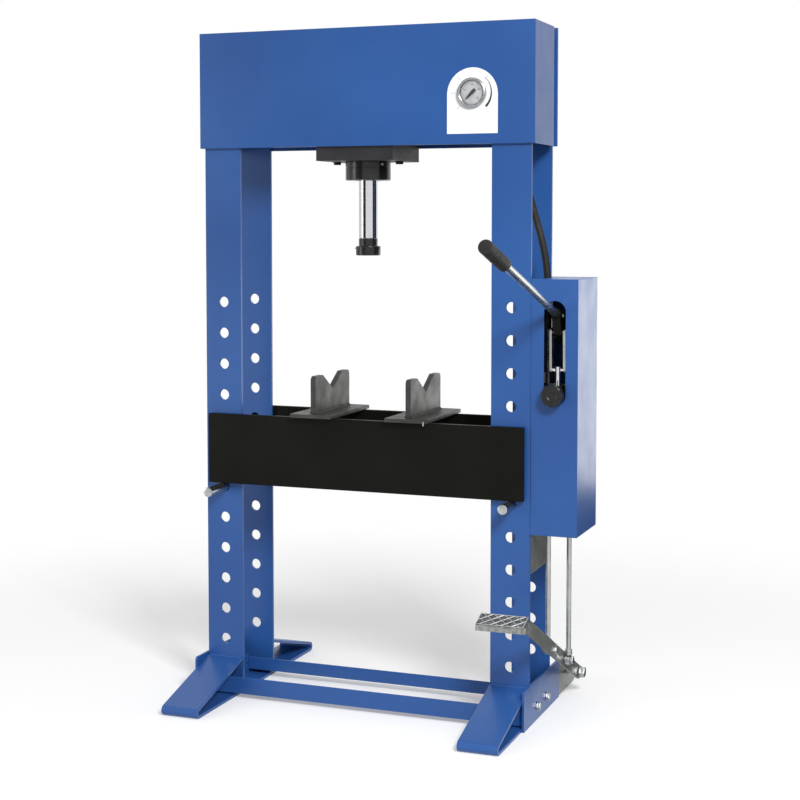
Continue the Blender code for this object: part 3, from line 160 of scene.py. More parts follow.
# Black lacquer on turned steel: glossy enough to show long highlights.
GLOSS_BLACK = surface("gloss_black_paint",
                      {"IOR": 1.5, "Specular IOR Level": 0.35, "Coat Weight": 0.15,
                       "Coat Roughness": 0.08},
                      (60 * MM, 3), ("#0F0F10", "#171718"),
                      (14 * MM, 3), (0.20, 0.30), (4 * MM, 2), 0.02 * MM)

# Hot-rolled bar, phosphated and oiled: dark grey, half metallic, mottled.
DARK_STEEL = surface("phosphated_steel", {"Metallic": 0.45, "Specular IOR Level": 0.3},
                     (18 * MM, 5), ("#363634", "#474745"),
                     (18 * MM, 5), (0.52, 0.40), (2.5 * MM, 4), 0.06 * MM)

# Thick plate, sawn and blackened: fine straight saw marks across the faces.
SAWN = surface("sawn_black_steel", {"Metallic": 0.2, "Specular IOR Level": 0.25},
               (30 * MM, 4), ("#262528", "#343337"),
               (12 * MM, 3, (1, 1, 14)), (0.42, 0.56), (12 * MM, 3, (1, 1, 14)), 0.08 * MM)

# Electroplated zinc: bright, faintly blue-white, softly clouded.
ZINC = surface("bright_zinc_plate", {"Metallic": 1.0},
               (12 * MM, 4), ("#A3A6A7", "#BCBEBD"),
               (12 * MM, 4), (0.24, 0.36), (2 * MM, 2), 0.015 * MM)

# Ground and hard-chromed piston rod: mirror-like, with traces of the grinding.
CHROME = surface("hard_chrome", {"Metallic": 1.0},
                 (30 * MM, 3, (1, 1, 30)), ("#C9CBCE", "#DADBDE"),
                 (30 * MM, 3, (1, 1, 30)), (0.05, 0.10))

# Pressed black plastic of the knob: hard, shiny, with a slight haze.
PHENOLIC = surface("black_phenolic", {"IOR": 1.55, "Specular IOR Level": 0.3},
                   (10 * MM, 3), ("#111113", "#1A1A1C"),
                   (6 * MM, 3), (0.26, 0.40), (1.5 * MM, 2), 0.02 * MM)

# Rolled stainless bezel: polished, with hair-fine lines round it.
STAINLESS = surface("stainless_ring", {"Metallic": 1.0},
                    (6 * MM, 2, (1, 20, 1)), ("#8D8F93", "#A9ABAF"),
                    (6 * MM, 2, (1, 20, 1)), (0.16, 0.26))

# Stoved off-white enamel of the dial.
ENAMEL = surface("dial_enamel", {"IOR": 1.5}, (9 * MM, 2), ("#C9CBCE", "#D3D5D7"),
                 (3 * MM, 2), (0.42, 0.52))

# White self-adhesive film: smooth, with the faint waves of its glue.
VINYL = surface("white_vinyl", {"IOR": 1.5}, (40 * MM, 2), ("#F1F2F3", "#F7F7F7"),
                (20 * MM, 2), (0.34, 0.42), (14 * MM, 2), 0.03 * MM)

# Screen-printed inks, a little uneven.
BLACK_INK = surface("black_ink", {"IOR": 1.5}, (3 * MM, 3), ("#19191A", "#232324"))
GREY_INK = surface("grey_ink", {"IOR": 1.5}, (3 * MM, 3), ("#6C6D70", "#7C7D80"))

# Turned brass of the fittings: yellow metal, fine turning marks.
BRASS = surface("turned_brass", {"Metallic": 1.0}, (5 * MM, 3, (1, 1, 10)),
                ("#B79A5B", "#CBB074"), (5 * MM, 3, (1, 1, 10)), (0.26, 0.38))

# Flat float glass of the gauge.
GLASS = surface("clear_glass", {"IOR": 1.45, "Transmission Weight": 1.0}, (40 * MM, 0),
                ("#FDFDFD", "#FFFFFF"), roughness=0.02)


def galvanised_sheet():
    """Hot-dip galvanised steel: grey crystals 8 to 15 mm across, each a shade of its own."""
    material, tree, shader = start_material("galvanised_sheet", {"Metallic": 0.85})
    place = add_node(tree, "TexCoord").outputs["Object"]
    warp = add_node(tree, "TexNoise", {"Vector": place, "Scale": 60.0, "Detail": 2.0})
    bent = add_node(tree, "Mix", {0: 0.12, 4: place, 5: warp.outputs["Color"]}, data_type="VECTOR")
    cells = add_node(tree, "TexVoronoi", {"Vector": bent.outputs[1], "Scale": 1 / (11 * MM)})
    shade = add_node(tree, "SeparateColor", {"Color": cells.outputs["Color"]}).outputs["Red"]
    grain = add_node(tree, "TexNoise", {"Vector": place, "Scale": HALF_WAVE / (5 * MM),
                                        "Detail": 3.0})
    dress(tree, shader, shade, ("#7C7F7D", "#989B98"), shade, (0.36, 0.50),
          grain.outputs["Fac"], 0.04 * MM)
    return material


def black_rubber():
    """Rubber sleeve and cover: matt, with the faint print of its cloth wrapping."""
    material, tree, shader = start_material("black_rubber",
                                            {"IOR": 1.52, "Specular IOR Level": 0.25})
    place = add_node(tree, "TexCoord").outputs["Object"]
    cloud = add_node(tree, "TexNoise", {"Vector": place, "Scale": HALF_WAVE / (20 * MM),
                                        "Detail": 3.0})
    worn = add_node(tree, "TexNoise", {"Vector": place, "Scale": HALF_WAVE / (8 * MM),
                                       "Detail": 2.0})
    wrap = add_node(tree, "TexWave", {"Vector": place, "Scale": 0.3 / (5 * MM),
                                      "Distortion": 1.5}, bands_direction="DIAGONAL")
    dress(tree, shader, cloud.outputs["Fac"], ("#191817", "#252423"), worn.outputs["Fac"],
          (0.50, 0.66), wrap.outputs["Fac"], 0.12 * MM)
    return material


GALVANISED = galvanised_sheet()
RUBBER = black_rubber()


# Shapes

def show(bm, name, material):
    """An object made of a bmesh."""
    mesh = bpy.data.meshes.new(name)
    bm.to_mesh(mesh)
    bm.free()
    mesh.materials.append(material)
    item = bpy.data.objects.new(name, mesh)
    bpy.context.scene.collection.objects.link(item)
    return item


def finish_piece(bm, name, body, material, replaces=None, smooth=32, fresh=True):
    """Makes a bmesh a piece that rides on a body and stands for the node it replaces.
    A fresh shape still needs its faces turned outward."""
    if fresh:
        bmesh.ops.recalc_face_normals(bm, faces=bm.faces)
    piece = show(bm, name, material)
    piece.data.shade_smooth()
    piece.data.set_sharp_from_angle(angle=math.radians(smooth))
    weighted = piece.modifiers.new("face_weighted_normals", "WEIGHTED_NORMAL")
    weighted.keep_sharp = True
    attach(piece, body)
    if replaces:
        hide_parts(replaces)
    return piece


def merge(target, *others):
    """Adds other bmeshes to the first one."""
    for other in others:
        mesh = bpy.data.meshes.new("joined")
        other.to_mesh(mesh)
        other.free()
        target.from_mesh(mesh)
        bpy.data.meshes.remove(mesh)
    return target


def round_edges(bm, width, segments=2, sharp=30):
    edges = [e for e in bm.edges if e.is_manifold and e.calc_face_angle() > math.radians(sharp)]
    bmesh.ops.bevel(bm, geom=edges, offset=width, offset_type="OFFSET", affect="EDGES",
                    segments=segments, profile=0.5, material=-1, clamp_overlap=True)
    return bm


def block(low, high, edge=CUT_EDGE, segments=2):
    """A rectangular bar between two corners, with rounded edges."""
    bm = bmesh.new()
    bmesh.ops.create_cube(bm, size=1.0)
    bmesh.ops.scale(bm, vec=Vector(high) - Vector(low), verts=bm.verts)
    bmesh.ops.translate(bm, vec=(Vector(low) + Vector(high)) / 2, verts=bm.verts)
    return round_edges(bm, edge, segments)


def aim(bm, at, direction):
    """Turns a shape made along +Z to a direction, and moves it to its place."""
    turn = Z_AXIS.rotation_difference(Vector(direction).normalized()).to_matrix().to_4x4()
    bmesh.ops.transform(bm, matrix=Matrix.Translation(at) @ turn, verts=bm.verts)
    return bm


def turned(profile, at, direction, steps=48):
    """A turned shape: (radius, height) pairs spun round an axis that starts at a point."""
    bm = bmesh.new()
    verts = [bm.verts.new((radius, 0, height)) for radius, height in profile]
    edges = [bm.edges.new(pair) for pair in zip(verts, verts[1:])]
    bmesh.ops.spin(bm, geom=verts + edges, cent=(0, 0, 0), axis=(0, 0, 1), angle=2 * math.pi,
                   steps=steps, use_merge=True, use_duplicate=False)
    bmesh.ops.remove_doubles(bm, verts=bm.verts, dist=MERGE / 10)
    bmesh.ops.recalc_face_normals(bm, faces=bm.faces)
    return aim(bm, at, direction)


def round_bar(radius, start, end, edge=0.5 * MM, steps=32):
    """A round bar between two points, with chamfered ends."""
    start, end = Vector(start), Vector(end)
    length = (end - start).length
    profile = [(0, 0), (radius - edge, 0), (radius, edge), (radius, length - edge),
               (radius - edge, length), (0, length)]
    return turned(profile, start, end - start, steps)


def hexagon(flats, height, at, direction, chamfer=0.12):
    """A hexagon head or nut: its corners are turned off at the outer end."""
    bm = bmesh.new()
    corner = flats / math.sqrt(3)
    bmesh.ops.create_cone(bm, cap_ends=True, segments=6, radius1=corner, radius2=corner,
                          depth=height)
    bmesh.ops.translate(bm, vec=(0, 0, height / 2), verts=bm.verts)
    rim = [e for e in bm.edges if all(v.co.z > height * 0.9 for v in e.verts)]
    bmesh.ops.bevel(bm, geom=rim, offset=height * chamfer, offset_type="OFFSET", affect="EDGES",
                    segments=2, profile=0.5, material=-1, clamp_overlap=True)
    return aim(bm, at, direction)


def washer(inner, outer, thickness, at, direction):
    edge = thickness / 4
    profile = [(inner, 0), (outer - edge, 0), (outer, edge), (outer, thickness - edge),
               (outer - edge, thickness), (inner, thickness), (inner, 0)]
    return turned(profile, at, direction, 32)


def rectangle(low, high):
    return [(low[0], low[1]), (high[0], low[1]), (high[0], high[1]), (low[0], high[1])]


def arc(centre, radius, start, end, count):
    angles = [start + (end - start) * i / count for i in range(count + 1)]
    return [(centre[0] + radius * math.cos(a), centre[1] + radius * math.sin(a)) for a in angles]


def circle(centre, radius, count=40):
    return arc(centre, radius, 0, 2 * math.pi, count)[:-1]


OUTLINE_TURN = {"X": Matrix(((0, 0, 1), (1, 0, 0), (0, 1, 0))),
                "Y": Matrix(((1, 0, 0), (0, 0, -1), (0, 1, 0))),
                "Z": Matrix.Identity(3)}


def plate(outlines, axis, low, high, edge=CUT_EDGE, segments=2):
    """A flat plate from its outline and its holes. X plates are drawn in Y and Z, Y plates
    in X and Z, Z plates in X and Y."""
    bm = bmesh.new()
    edges = []
    for outline in outlines:
        verts = [bm.verts.new((u, v, 0)) for u, v in outline]
        edges += [bm.edges.new(pair) for pair in zip(verts, verts[1:] + verts[:1])]
    bmesh.ops.triangle_fill(bm, edges=edges, use_beauty=True)
    grown = bmesh.ops.extrude_face_region(bm, geom=bm.faces[:])["geom"]
    moved = [v for v in grown if isinstance(v, bmesh.types.BMVert)]
    bmesh.ops.translate(bm, vec=(0, 0, high - low), verts=moved)
    bmesh.ops.recalc_face_normals(bm, faces=bm.faces)
    if edge:
        round_edges(bm, edge, segments, 25)
    away = Vector((0, 0, low if axis != "Y" else -high))
    bmesh.ops.translate(bm, vec=away, verts=bm.verts)
    bmesh.ops.transform(bm, matrix=OUTLINE_TURN[axis].to_4x4(), verts=bm.verts)
    return bm


def refined(node, edge=CUT_EDGE, segments=2):
    """A copy of a node's own shape, merged, with its sharp edges rounded."""
    bm = bmesh.new()
    bm.from_mesh(NODES[node].data)
    bmesh.ops.remove_doubles(bm, verts=bm.verts, dist=MERGE)
    bmesh.ops.dissolve_limit(bm, angle_limit=math.radians(1), verts=bm.verts, edges=bm.edges)
    return round_edges(bm, edge, segments)


def refine(node, body, material, edge=CUT_EDGE, segments=2):
    return finish_piece(refined(node, edge, segments), node + "_finished", body, material, node,
                        fresh=False)


def weld_bead(start, end, radius, ripple=3.2 * MM):
    """A welded seam: a bead whose ripples the welder's hand left, one behind the other."""
    start, end = Vector(start), Vector(end)
    length = (end - start).length
    count = max(4, round(length / ripple))
    profile = [(0, -0.4 * radius), (0.75 * radius, 0)]
    for i in range(count):
        foot = length * i / count
        profile += [(radius * 0.86, foot + ripple * 0.05), (radius, foot + ripple * 0.55),
                    (radius * 0.97, foot + ripple * 0.85)]
    profile += [(0.75 * radius, length), (0, length + 0.4 * radius)]
    return turned(profile, start, end - start, 12)


def welds(name, body, material, seams, radius):
    beads = [weld_bead(start, end, radius) for start, end in seams]
    return finish_piece(merge(*beads), name, body, material, smooth=60)


def bolt(name, node, body, material, direction, under, flats, height, washer_radius, shank, length):
    """A hexagon bolt and its washer, standing for a node. Under is where its head sits."""
    thickness = 1.4 * MM
    direction = Vector(direction)
    head_at = under + direction * thickness
    shape = hexagon(flats, height - thickness, head_at, direction)
    ring = washer(shank + 0.1 * MM, washer_radius, thickness, under, direction)
    stem = round_bar(shank, under - direction * length, head_at + direction * 0.2 * MM)
    return finish_piece(merge(shape, ring, stem), name, body, material, node)


def mirrored_sides(node_pattern):
    return [(side, node_pattern.format(side)) for side in ("left", "right")]


# Welded frame

HOLE_PITCH = 80 * MM
HOLE_RADIUS = 13.5 * MM
HOLES_FROM_PIN = range(-5, 7)
PIN_DROP = 0.7 * MM       # of a pin's axis below the hole's


def hole_line(side):
    pin = middle(f"bed_pin_{side}")
    return [(pin.x, pin.z + PIN_DROP + i * HOLE_PITCH) for i in HOLES_FROM_PIN]


def make_columns():
    for side in ("left", "right"):
        holes = [circle(at, HOLE_RADIUS) for at in hole_line(side)]
        for row in ("front", "back"):
            node = f"column_{row}_{side}"
            low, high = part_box(node)
            outline = rectangle((low.x, low.z), (high.x, high.z))
            bm = plate([outline] + holes, "Y", low.y, high.y, 0.7 * MM)
            finish_piece(bm, f"{side}_{row}_column_bar", "frame", BLUE, node)


def make_base():
    for side in ("left", "right"):
        refine(f"foot_{side}", "frame", BLUE, 1.2 * MM, 3)
        refine(f"side_plate_{side}", "frame", BLUE)
        refine(f"foot_cleat_{side}", "frame", BLUE, 1.5 * MM)
    refine("rail_front", "frame", BLUE, 1.0 * MM)
    refine("rail_back", "frame", BLUE, 1.0 * MM)
    for side, out in (("left", -X_AXIS), ("right", X_AXIS)):
        low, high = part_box(f"foot_{side}")
        bars_low, bars_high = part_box(f"column_front_{side}")[0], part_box(f"column_back_{side}")[1]
        seams = []
        for y, outward in ((bars_low.y, -1), (bars_high.y, 1)):
            z = high.z - 1 * MM
            seams.append(((low.x + 4 * MM, y + outward * 1.5 * MM, z),
                          (high.x - 4 * MM, y + outward * 1.5 * MM, z)))
        welds(f"{side}_foot_welds", "frame", BLUE, seams, 3.2 * MM)
        add_foot_bolts(side, out)


FOOT_BOLT = {"flats": 17 * MM, "height": 7 * MM, "washer_radius": 11.5 * MM, "shank": 5 * MM,
             "length": 29 * MM}


def add_foot_bolts(side, out):
    for row in ("front", "back"):
        node = f"foot_bolt_{row}_{side}"
        low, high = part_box(node)
        at = (low + high) / 2
        at.x = (high.x if out.x > 0 else low.x) - out.x * FOOT_BOLT["height"]
        bolt(f"{side}_{row}_foot_bolt", node, "frame", ZINC, out, at, **FOOT_BOLT)


GAUGE_HOLE_RADIUS = 34.1 * MM


def make_beam():
    low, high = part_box("beam_front")
    gauge = middle("gauge_case")
    outline = rectangle((low.x, low.z), (high.x, high.z))
    hole = circle((gauge.x, gauge.z), GAUGE_HOLE_RADIUS, 64)
    bm = plate([outline, hole], "Y", low.y, high.y, 1.0 * MM)
    finish_piece(bm, "beam_front_plate", "frame", BLUE, "beam_front")
    refine("beam_back", "frame", BLUE, 1.0 * MM)
    seams = []
    for side, out in (("left", -1), ("right", 1)):
        refine(f"beam_end_{side}", "frame", BLUE, 1.0 * MM)
        bar_low, bar_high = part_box(f"column_front_{side}")
        back_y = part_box(f"column_back_{side}")[1].y
        z = low.z - 0.5 * MM
        for y in (bar_low.y - 0.8 * MM, back_y + 0.8 * MM):
            seams.append(((bar_low.x + 2 * MM, y, z), (bar_high.x - 2 * MM, y, z)))
        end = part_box(f"beam_end_{side}")
        x = end[0].x if out > 0 else end[1].x
        for y in (end[0].y + 1 * MM, end[1].y - 1 * MM):
            seams.append(((x, y, low.z + 8 * MM), (x, y, high.z - 12 * MM)))
    welds("beam_welds", "frame", BLUE, seams, 2.6 * MM)


# Cylinder, ram and gauge

BARREL_FLANGE = 17.5 * MM
BORE_RADIUS = 42 * MM
ROD_RADIUS = 24 * MM
SPIGOT_RADIUS = 17 * MM
FLANGE_HEIGHT = 14 * MM
GROOVE_RISE = 33 * MM       # of the groove round the barrel above its lower end
GLAND_DEPTH = 31 * MM
CROWN = 16 * MM


def make_cylinder():
    finish_piece(refined("cylinder_mount", 1.4 * MM), "cylinder_mount_block", "frame", SAWN,
                 "cylinder_mount", fresh=False)
    low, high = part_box("cylinder_barrel")
    radius = (high.x - low.x) / 2 - BARREL_FLANGE
    mount_low, mount_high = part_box("cylinder_mount")
    seat = mount_high.z + FIT
    axis = (low + high) / 2
    inner = ROD_RADIUS + FIT
    edge = 3 * MM
    top, bottom = high.z, low.z
    flange, ledge = radius + BARREL_FLANGE, seat + FLANGE_HEIGHT
    groove, recess = bottom + GROOVE_RISE, radius - 0.6 * MM
    gland, roof = bottom + GLAND_DEPTH, top - CROWN
    profile = [(0, top), (radius - edge, top), (radius, top - edge), (radius, ledge),
               (flange - MM, ledge), (flange, ledge - MM), (flange, seat), (radius, seat),
               (radius, groove), (recess, groove - 0.6 * MM), (recess, groove - 2 * MM),
               (radius, groove - 2.6 * MM), (radius, bottom + edge), (radius - MM, bottom + MM),
               (radius - edge, bottom), (inner + 9 * MM, bottom),
               (inner + 8 * MM, bottom + 1.5 * MM), (inner + 2.5 * MM, bottom + 1.5 * MM),
               (inner, bottom + 2 * MM), (inner, gland), (BORE_RADIUS, gland),
               (BORE_RADIUS, roof), (0, roof)]
    bm = turned([(r, z - bottom) for r, z in profile], (axis.x, axis.y, bottom), Z_AXIS, 72)
    finish_piece(bm, "cylinder_tube", "frame", GLOSS_BLACK, "cylinder_barrel", smooth=28)
    wiper = [(inner + 0.1 * MM, 0.3 * MM), (inner + 2.2 * MM, 0.3 * MM),
             (inner + 2.2 * MM, 1.3 * MM), (inner + 0.4 * MM, 1.3 * MM),
             (inner + 0.1 * MM, 0.3 * MM)]
    finish_piece(turned(wiper, (axis.x, axis.y, bottom), Z_AXIS), "rod_wiper", "frame", RUBBER)
    for side, node in mirrored_sides("mount_bolt_{}"):
        bolt_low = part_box(node)[0]
        at = middle(node)
        at.z = mount_low.z
        bolt(f"{side}_mount_bolt", node, "frame", GLOSS_BLACK, -Z_AXIS, at - Z_AXIS * 0.2 * MM,
             18 * MM, mount_low.z - bolt_low.z - 0.2 * MM, 12.5 * MM, 6 * MM, 44 * MM)
    screw_way = Vector((0.86, -0.51, 0))
    at = Vector((axis.x, axis.y, mount_low.z - 7 * MM)) + screw_way * (radius - 1 * MM)
    screw = merge(round_bar(4 * MM, at, at + screw_way * 3.6 * MM),
                  round_bar(1.6 * MM, at + screw_way * 3 * MM, at + screw_way * 7 * MM))
    finish_piece(screw, "bleed_screw", "frame", ZINC)
    beam_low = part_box("beam_front")[0]
    y, z = mount_low.y + 1 * MM, beam_low.z - 0.5 * MM
    seams = [((mount_low.x + 6 * MM, y, z), (mount_high.x - 6 * MM, y, z))]
    welds("mount_weld", "frame", SAWN, seams, 2.4 * MM)


def make_ram():
    low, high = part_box("piston_rod")
    nose_low, nose_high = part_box("ram_nose")
    axis = (low + high) / 2
    piston = (high.x - low.x) / 2
    foot = low.z
    neck = nose_high.z + FIT - foot
    lift = high.z - foot
    seal_top, seal_foot = lift - 10 * MM, lift - 15 * MM
    piston_foot = lift - 30 * MM
    profile = [(0, lift), (piston - MM, lift), (piston, lift - MM), (piston, seal_top),
               (piston - 2 * MM, seal_top), (piston - 2 * MM, seal_foot), (piston, seal_foot),
               (piston, piston_foot + MM), (piston - MM, piston_foot),
               (ROD_RADIUS, piston_foot), (ROD_RADIUS, neck + MM), (ROD_RADIUS - MM, neck),
               (SPIGOT_RADIUS, neck), (SPIGOT_RADIUS, 0), (0, 0)]
    finish_piece(turned(profile, (axis.x, axis.y, foot), Z_AXIS, 72), "chromed_rod", "ram", CHROME,
                 "piston_rod", smooth=28)
    height = nose_high.z - nose_low.z
    radius = (nose_high.x - nose_low.x) / 2
    step, hole = 24 * MM, SPIGOT_RADIUS + FIT
    edge = 2.2 * MM
    profile = [(0, 0), (radius - edge, 0), (radius - 0.6 * MM, 0.6 * MM), (radius, edge),
               (radius, step - edge), (radius - 0.6 * MM, step - 0.6 * MM), (radius - edge, step),
               (ROD_RADIUS + 1.2 * MM, step), (ROD_RADIUS, step + 1.2 * MM),
               (ROD_RADIUS, height - MM), (ROD_RADIUS - MM, height), (hole, height),
               (hole, 12 * MM), (0, 12 * MM)]
    finish_piece(turned(profile, (axis.x, axis.y, nose_low.z), Z_AXIS, 64), "pressing_nose", "ram",
                 GLOSS_BLACK, "ram_nose", smooth=28)
    way = -X_AXIS
    at = Vector((axis.x, axis.y, nose_low.z + 18 * MM)) + way * (radius - 1 * MM)
    screw = merge(round_bar(3.6 * MM, at, at + way * 3 * MM),
                  round_bar(2.2 * MM, at, at + way * 5 * MM))
    finish_piece(screw, "nose_set_screw", "ram", GLOSS_BLACK)


DIAL_LIFT = 2.0 * MM
SCALE_START, SCALE_SWEEP = math.radians(225), math.radians(270)


def dial_way(share):
    """Direction in X and Z of a place on the dial, from its zero to its full scale."""
    angle = SCALE_START - SCALE_SWEEP * share
    return Vector((math.cos(angle), math.sin(angle)))


def flat_mark(centre, share, inner, outer, width, y, thickness):
    """A printed tick on a face that looks forward."""
    way = dial_way(share)
    side = Vector((-way.y, way.x)) * width / 2
    at = Vector((centre.x, centre.z))
    corners = [at + way * inner - side, at + way * outer - side,
               at + way * outer + side, at + way * inner + side]
    return plate([[tuple(c) for c in corners]], "Y", y - thickness, y, 0)


def solid_of(curve, join):
    """The bmesh of a curve or a text, with points this close joined."""
    guide = bpy.data.objects.new("guide", curve)
    bpy.context.scene.collection.objects.link(guide)
    graph = bpy.context.evaluated_depsgraph_get()
    mesh = bpy.data.meshes.new_from_object(guide.evaluated_get(graph))
    bpy.data.objects.remove(guide, do_unlink=True)
    bm = bmesh.new()
    bm.from_mesh(mesh)
    bpy.data.meshes.remove(mesh)
    bmesh.ops.remove_doubles(bm, verts=bm.verts, dist=join)
    return bm


def number(text, size, at, thickness):
    """A printed number that looks forward, centred on a point."""
    curve = bpy.data.curves.new("number_" + text, "FONT")
    curve.body, curve.size = text, size
    curve.align_x, curve.align_y = "CENTER", "CENTER"
    curve.extrude = thickness / 2
    bm = solid_of(curve, MERGE / 10)
    upright = Matrix.Rotation(math.pi / 2, 3, "X")
    bmesh.ops.rotate(bm, cent=(0, 0, 0), matrix=upright, verts=bm.verts)
    bmesh.ops.translate(bm, vec=at, verts=bm.verts)
    return bm


def make_gauge():
    low, high, centre = span("gauge_case")
    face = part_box("beam_front")[0].y
    bezel = (high.x - low.x) / 2
    body, front, depth = bezel - 2.5 * MM, 10 * MM, high.y - face
    dial = body - 4 * MM
    at = Vector((centre.x, face, centre.z))
    pan, rim, inside = DIAL_LIFT - 0.6 * MM, front - 3.2 * MM, bezel - 1.4 * MM
    case = [(0, pan), (dial, pan), (dial, rim), (dial + MM, rim), (inside, rim), (inside, FIT),
            (body, FIT), (body, MM - depth), (body - MM, -depth), (0, -depth)]
    finish_piece(turned(case, at, FRONT, 64), "gauge_housing", "frame", BLACK, "gauge_case")
    ring = [(bezel - 1.3 * MM, FIT), (bezel - 0.3 * MM, FIT), (bezel, 1.2 * MM),
            (bezel, front - 2.4 * MM), (bezel - 0.6 * MM, front - 0.8 * MM),
            (bezel - 2.0 * MM, front), (bezel - 4.0 * MM, front - 0.4 * MM),
            (dial + 0.2 * MM, front - 1.8 * MM), (dial + 0.2 * MM, front - 3.1 * MM),
            (bezel - 1.3 * MM, front - 3.1 * MM), (bezel - 1.3 * MM, FIT)]
    finish_piece(turned(ring, at, FRONT, 96), "gauge_bezel", "frame", STAINLESS)
    NODES["gauge_lens"].material_slots[0].material = GLASS
    plate_at = at + FRONT * (DIAL_LIFT - 0.5 * MM)
    edge = dial - 0.2 * MM
    disc = turned([(0, 0), (edge, 0), (edge, 0.5 * MM), (0, 0.5 * MM)], plate_at, FRONT, 64)
    finish_piece(disc, "gauge_dial", "frame", ENAMEL)
    print_dial(centre, at.y - DIAL_LIFT, dial)
    NODES["gauge_needle"].material_slots[0].material = BLACK_INK
    hub_at = Vector((centre.x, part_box("gauge_needle")[0].y, centre.z))
    hub = [(0, 0), (4.2 * MM, 0), (4.2 * MM, 0.8 * MM), (3.4 * MM, 1.3 * MM), (0, 1.4 * MM)]
    finish_piece(turned(hub, hub_at, FRONT, 32), "needle_hub", "gauge_needle", BLACK_INK)


SCALE_STEPS = 40
STEPS_PER_NUMBER = 10
NUMBER_STEP = 100
INK = 0.05 * MM


def print_dial(centre, face, radius):
    marks = []
    for i in range(SCALE_STEPS + 1):
        long = i % (STEPS_PER_NUMBER // 2) == 0
        inner = radius - (6.2 if long else 4.4) * MM
        width = (0.7 if long else 0.35) * MM
        marks.append(flat_mark(centre, i / SCALE_STEPS, inner, radius - 2 * MM, width, face, INK))
        if i % STEPS_PER_NUMBER == 0:
            way = dial_way(i / SCALE_STEPS) * (radius - 10.5 * MM)
            at = Vector((centre.x + way.x, face - INK, centre.z + way.y))
            marks.append(number(str(i // STEPS_PER_NUMBER * NUMBER_STEP), 5 * MM, at, INK))
    finish_piece(merge(*marks), "dial_printing", "frame", BLACK_INK)


LABEL_HALF = 64.3 * MM
LABEL_BELOW = 98 * MM
LABEL_CENTRE_DROP = 4 * MM
LABEL_THICKNESS = 0.15 * MM


def make_gauge_label():
    """The white arch-shaped film round the gauge, with only marks of a scale on it."""
    gauge = middle("gauge_case")
    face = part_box("beam_front")[0].y
    spring = gauge.z - LABEL_CENTRE_DROP
    outline = arc((gauge.x, spring), LABEL_HALF, 0, math.pi, 48)
    outline += [(gauge.x + way * LABEL_HALF, gauge.z - LABEL_BELOW) for way in (-1, 1)]
    hole = circle((gauge.x, gauge.z), GAUGE_HOLE_RADIUS, 64)
    film = plate([outline, hole], "Y", face - LABEL_THICKNESS, face, 0)
    finish_piece(film, "gauge_label", "frame", VINYL)
    top = face - LABEL_THICKNESS
    marks = [flat_mark(gauge, share, 43 * MM, 55 * MM, 0.9 * MM, top, INK)
             for share in (0.0, 1 / 6, 1 / 3, 2 / 3)]
    finish_piece(merge(*marks), "label_ticks", "frame", GREY_INK)
    finish_piece(label_sweep(gauge, top), "label_sweep", "frame", BLACK_INK)


def label_sweep(gauge, top):
    """The printed arc that grows thicker towards the end of the scale."""
    count, radius = 24, 48 * MM
    outer, inner = [], []
    for i in range(count + 1):
        share = 0.66 + 0.34 * i / count
        half = (0.4 + 2.6 * i / count) * MM
        way = dial_way(share)
        outer.append((gauge.x + way.x * (radius + half), gauge.z + way.y * (radius + half)))
        inner.append((gauge.x + way.x * (radius - half), gauge.z + way.y * (radius - half)))
    return plate([outer + inner[::-1]], "Y", top - INK, top, 0)


# Pump, hose and release knob

def make_housing():
    refine("pump_housing", "frame", BLUE, 1.2 * MM, 3)
    NODES["pump_mount_plate"].material_slots[0].material = GALVANISED
    refine("pump_body", "frame", BLACK, 1.5 * MM)
    refine("oil_reservoir", "frame", BLACK, 4 * MM, 3)
    refine("lever_yoke", "frame", ZINC, 0.8 * MM)
    low, high, centre = span("lever_pivot_pin")
    radius = (high.z - low.z) / 2
    ends = [(x, centre.y, centre.z) for x in (low.x, high.x)]
    pin = round_bar(radius, *ends, 0.8 * MM)
    finish_piece(pin, "lever_pivot", "frame", ZINC, "lever_pivot_pin")
    add_pump_fittings()


def add_pump_fittings():
    """Gland nut of the plunger, the relief valve's cap and the tank's filler."""
    body_low, body_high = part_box("pump_body")
    plunger = middle("pump_plunger")
    top = Vector((plunger.x, plunger.y, body_high.z + 0.2 * MM))
    gland = [(9.2 * MM, 0), (14 * MM, 0), (14 * MM, 2.4 * MM), (12.5 * MM, 3.4 * MM),
             (9.2 * MM, 3.4 * MM), (9.2 * MM, 0)]
    finish_piece(turned(gland, top, Z_AXIS, 32), "plunger_gland", "frame", BRASS)
    cap_at = Vector((body_high.x - 18 * MM, body_low.y, body_low.z + 30 * MM))
    cap = merge(hexagon(17 * MM, 5 * MM, cap_at + Y_AXIS * MM, FRONT),
                round_bar(5 * MM, cap_at, cap_at + FRONT * 6.5 * MM))
    finish_piece(cap, "relief_valve_cap", "frame", ZINC)
    tank_low, tank_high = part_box("oil_reservoir")
    fill_at = Vector((tank_high.x - 0.5 * MM, (tank_low.y + tank_high.y) / 2,
                      tank_high.z - 22 * MM))
    finish_piece(merge(hexagon(19 * MM, 6 * MM, fill_at, X_AXIS),
                       washer(6 * MM, 13 * MM, 1.5 * MM, fill_at, X_AXIS)),
                 "reservoir_filler_plug", "frame", ZINC)


HOSE_RADIUS = 6.5 * MM
HOSE_COVER = 2.5 * MM      # of the abrasion sleeve over the hose


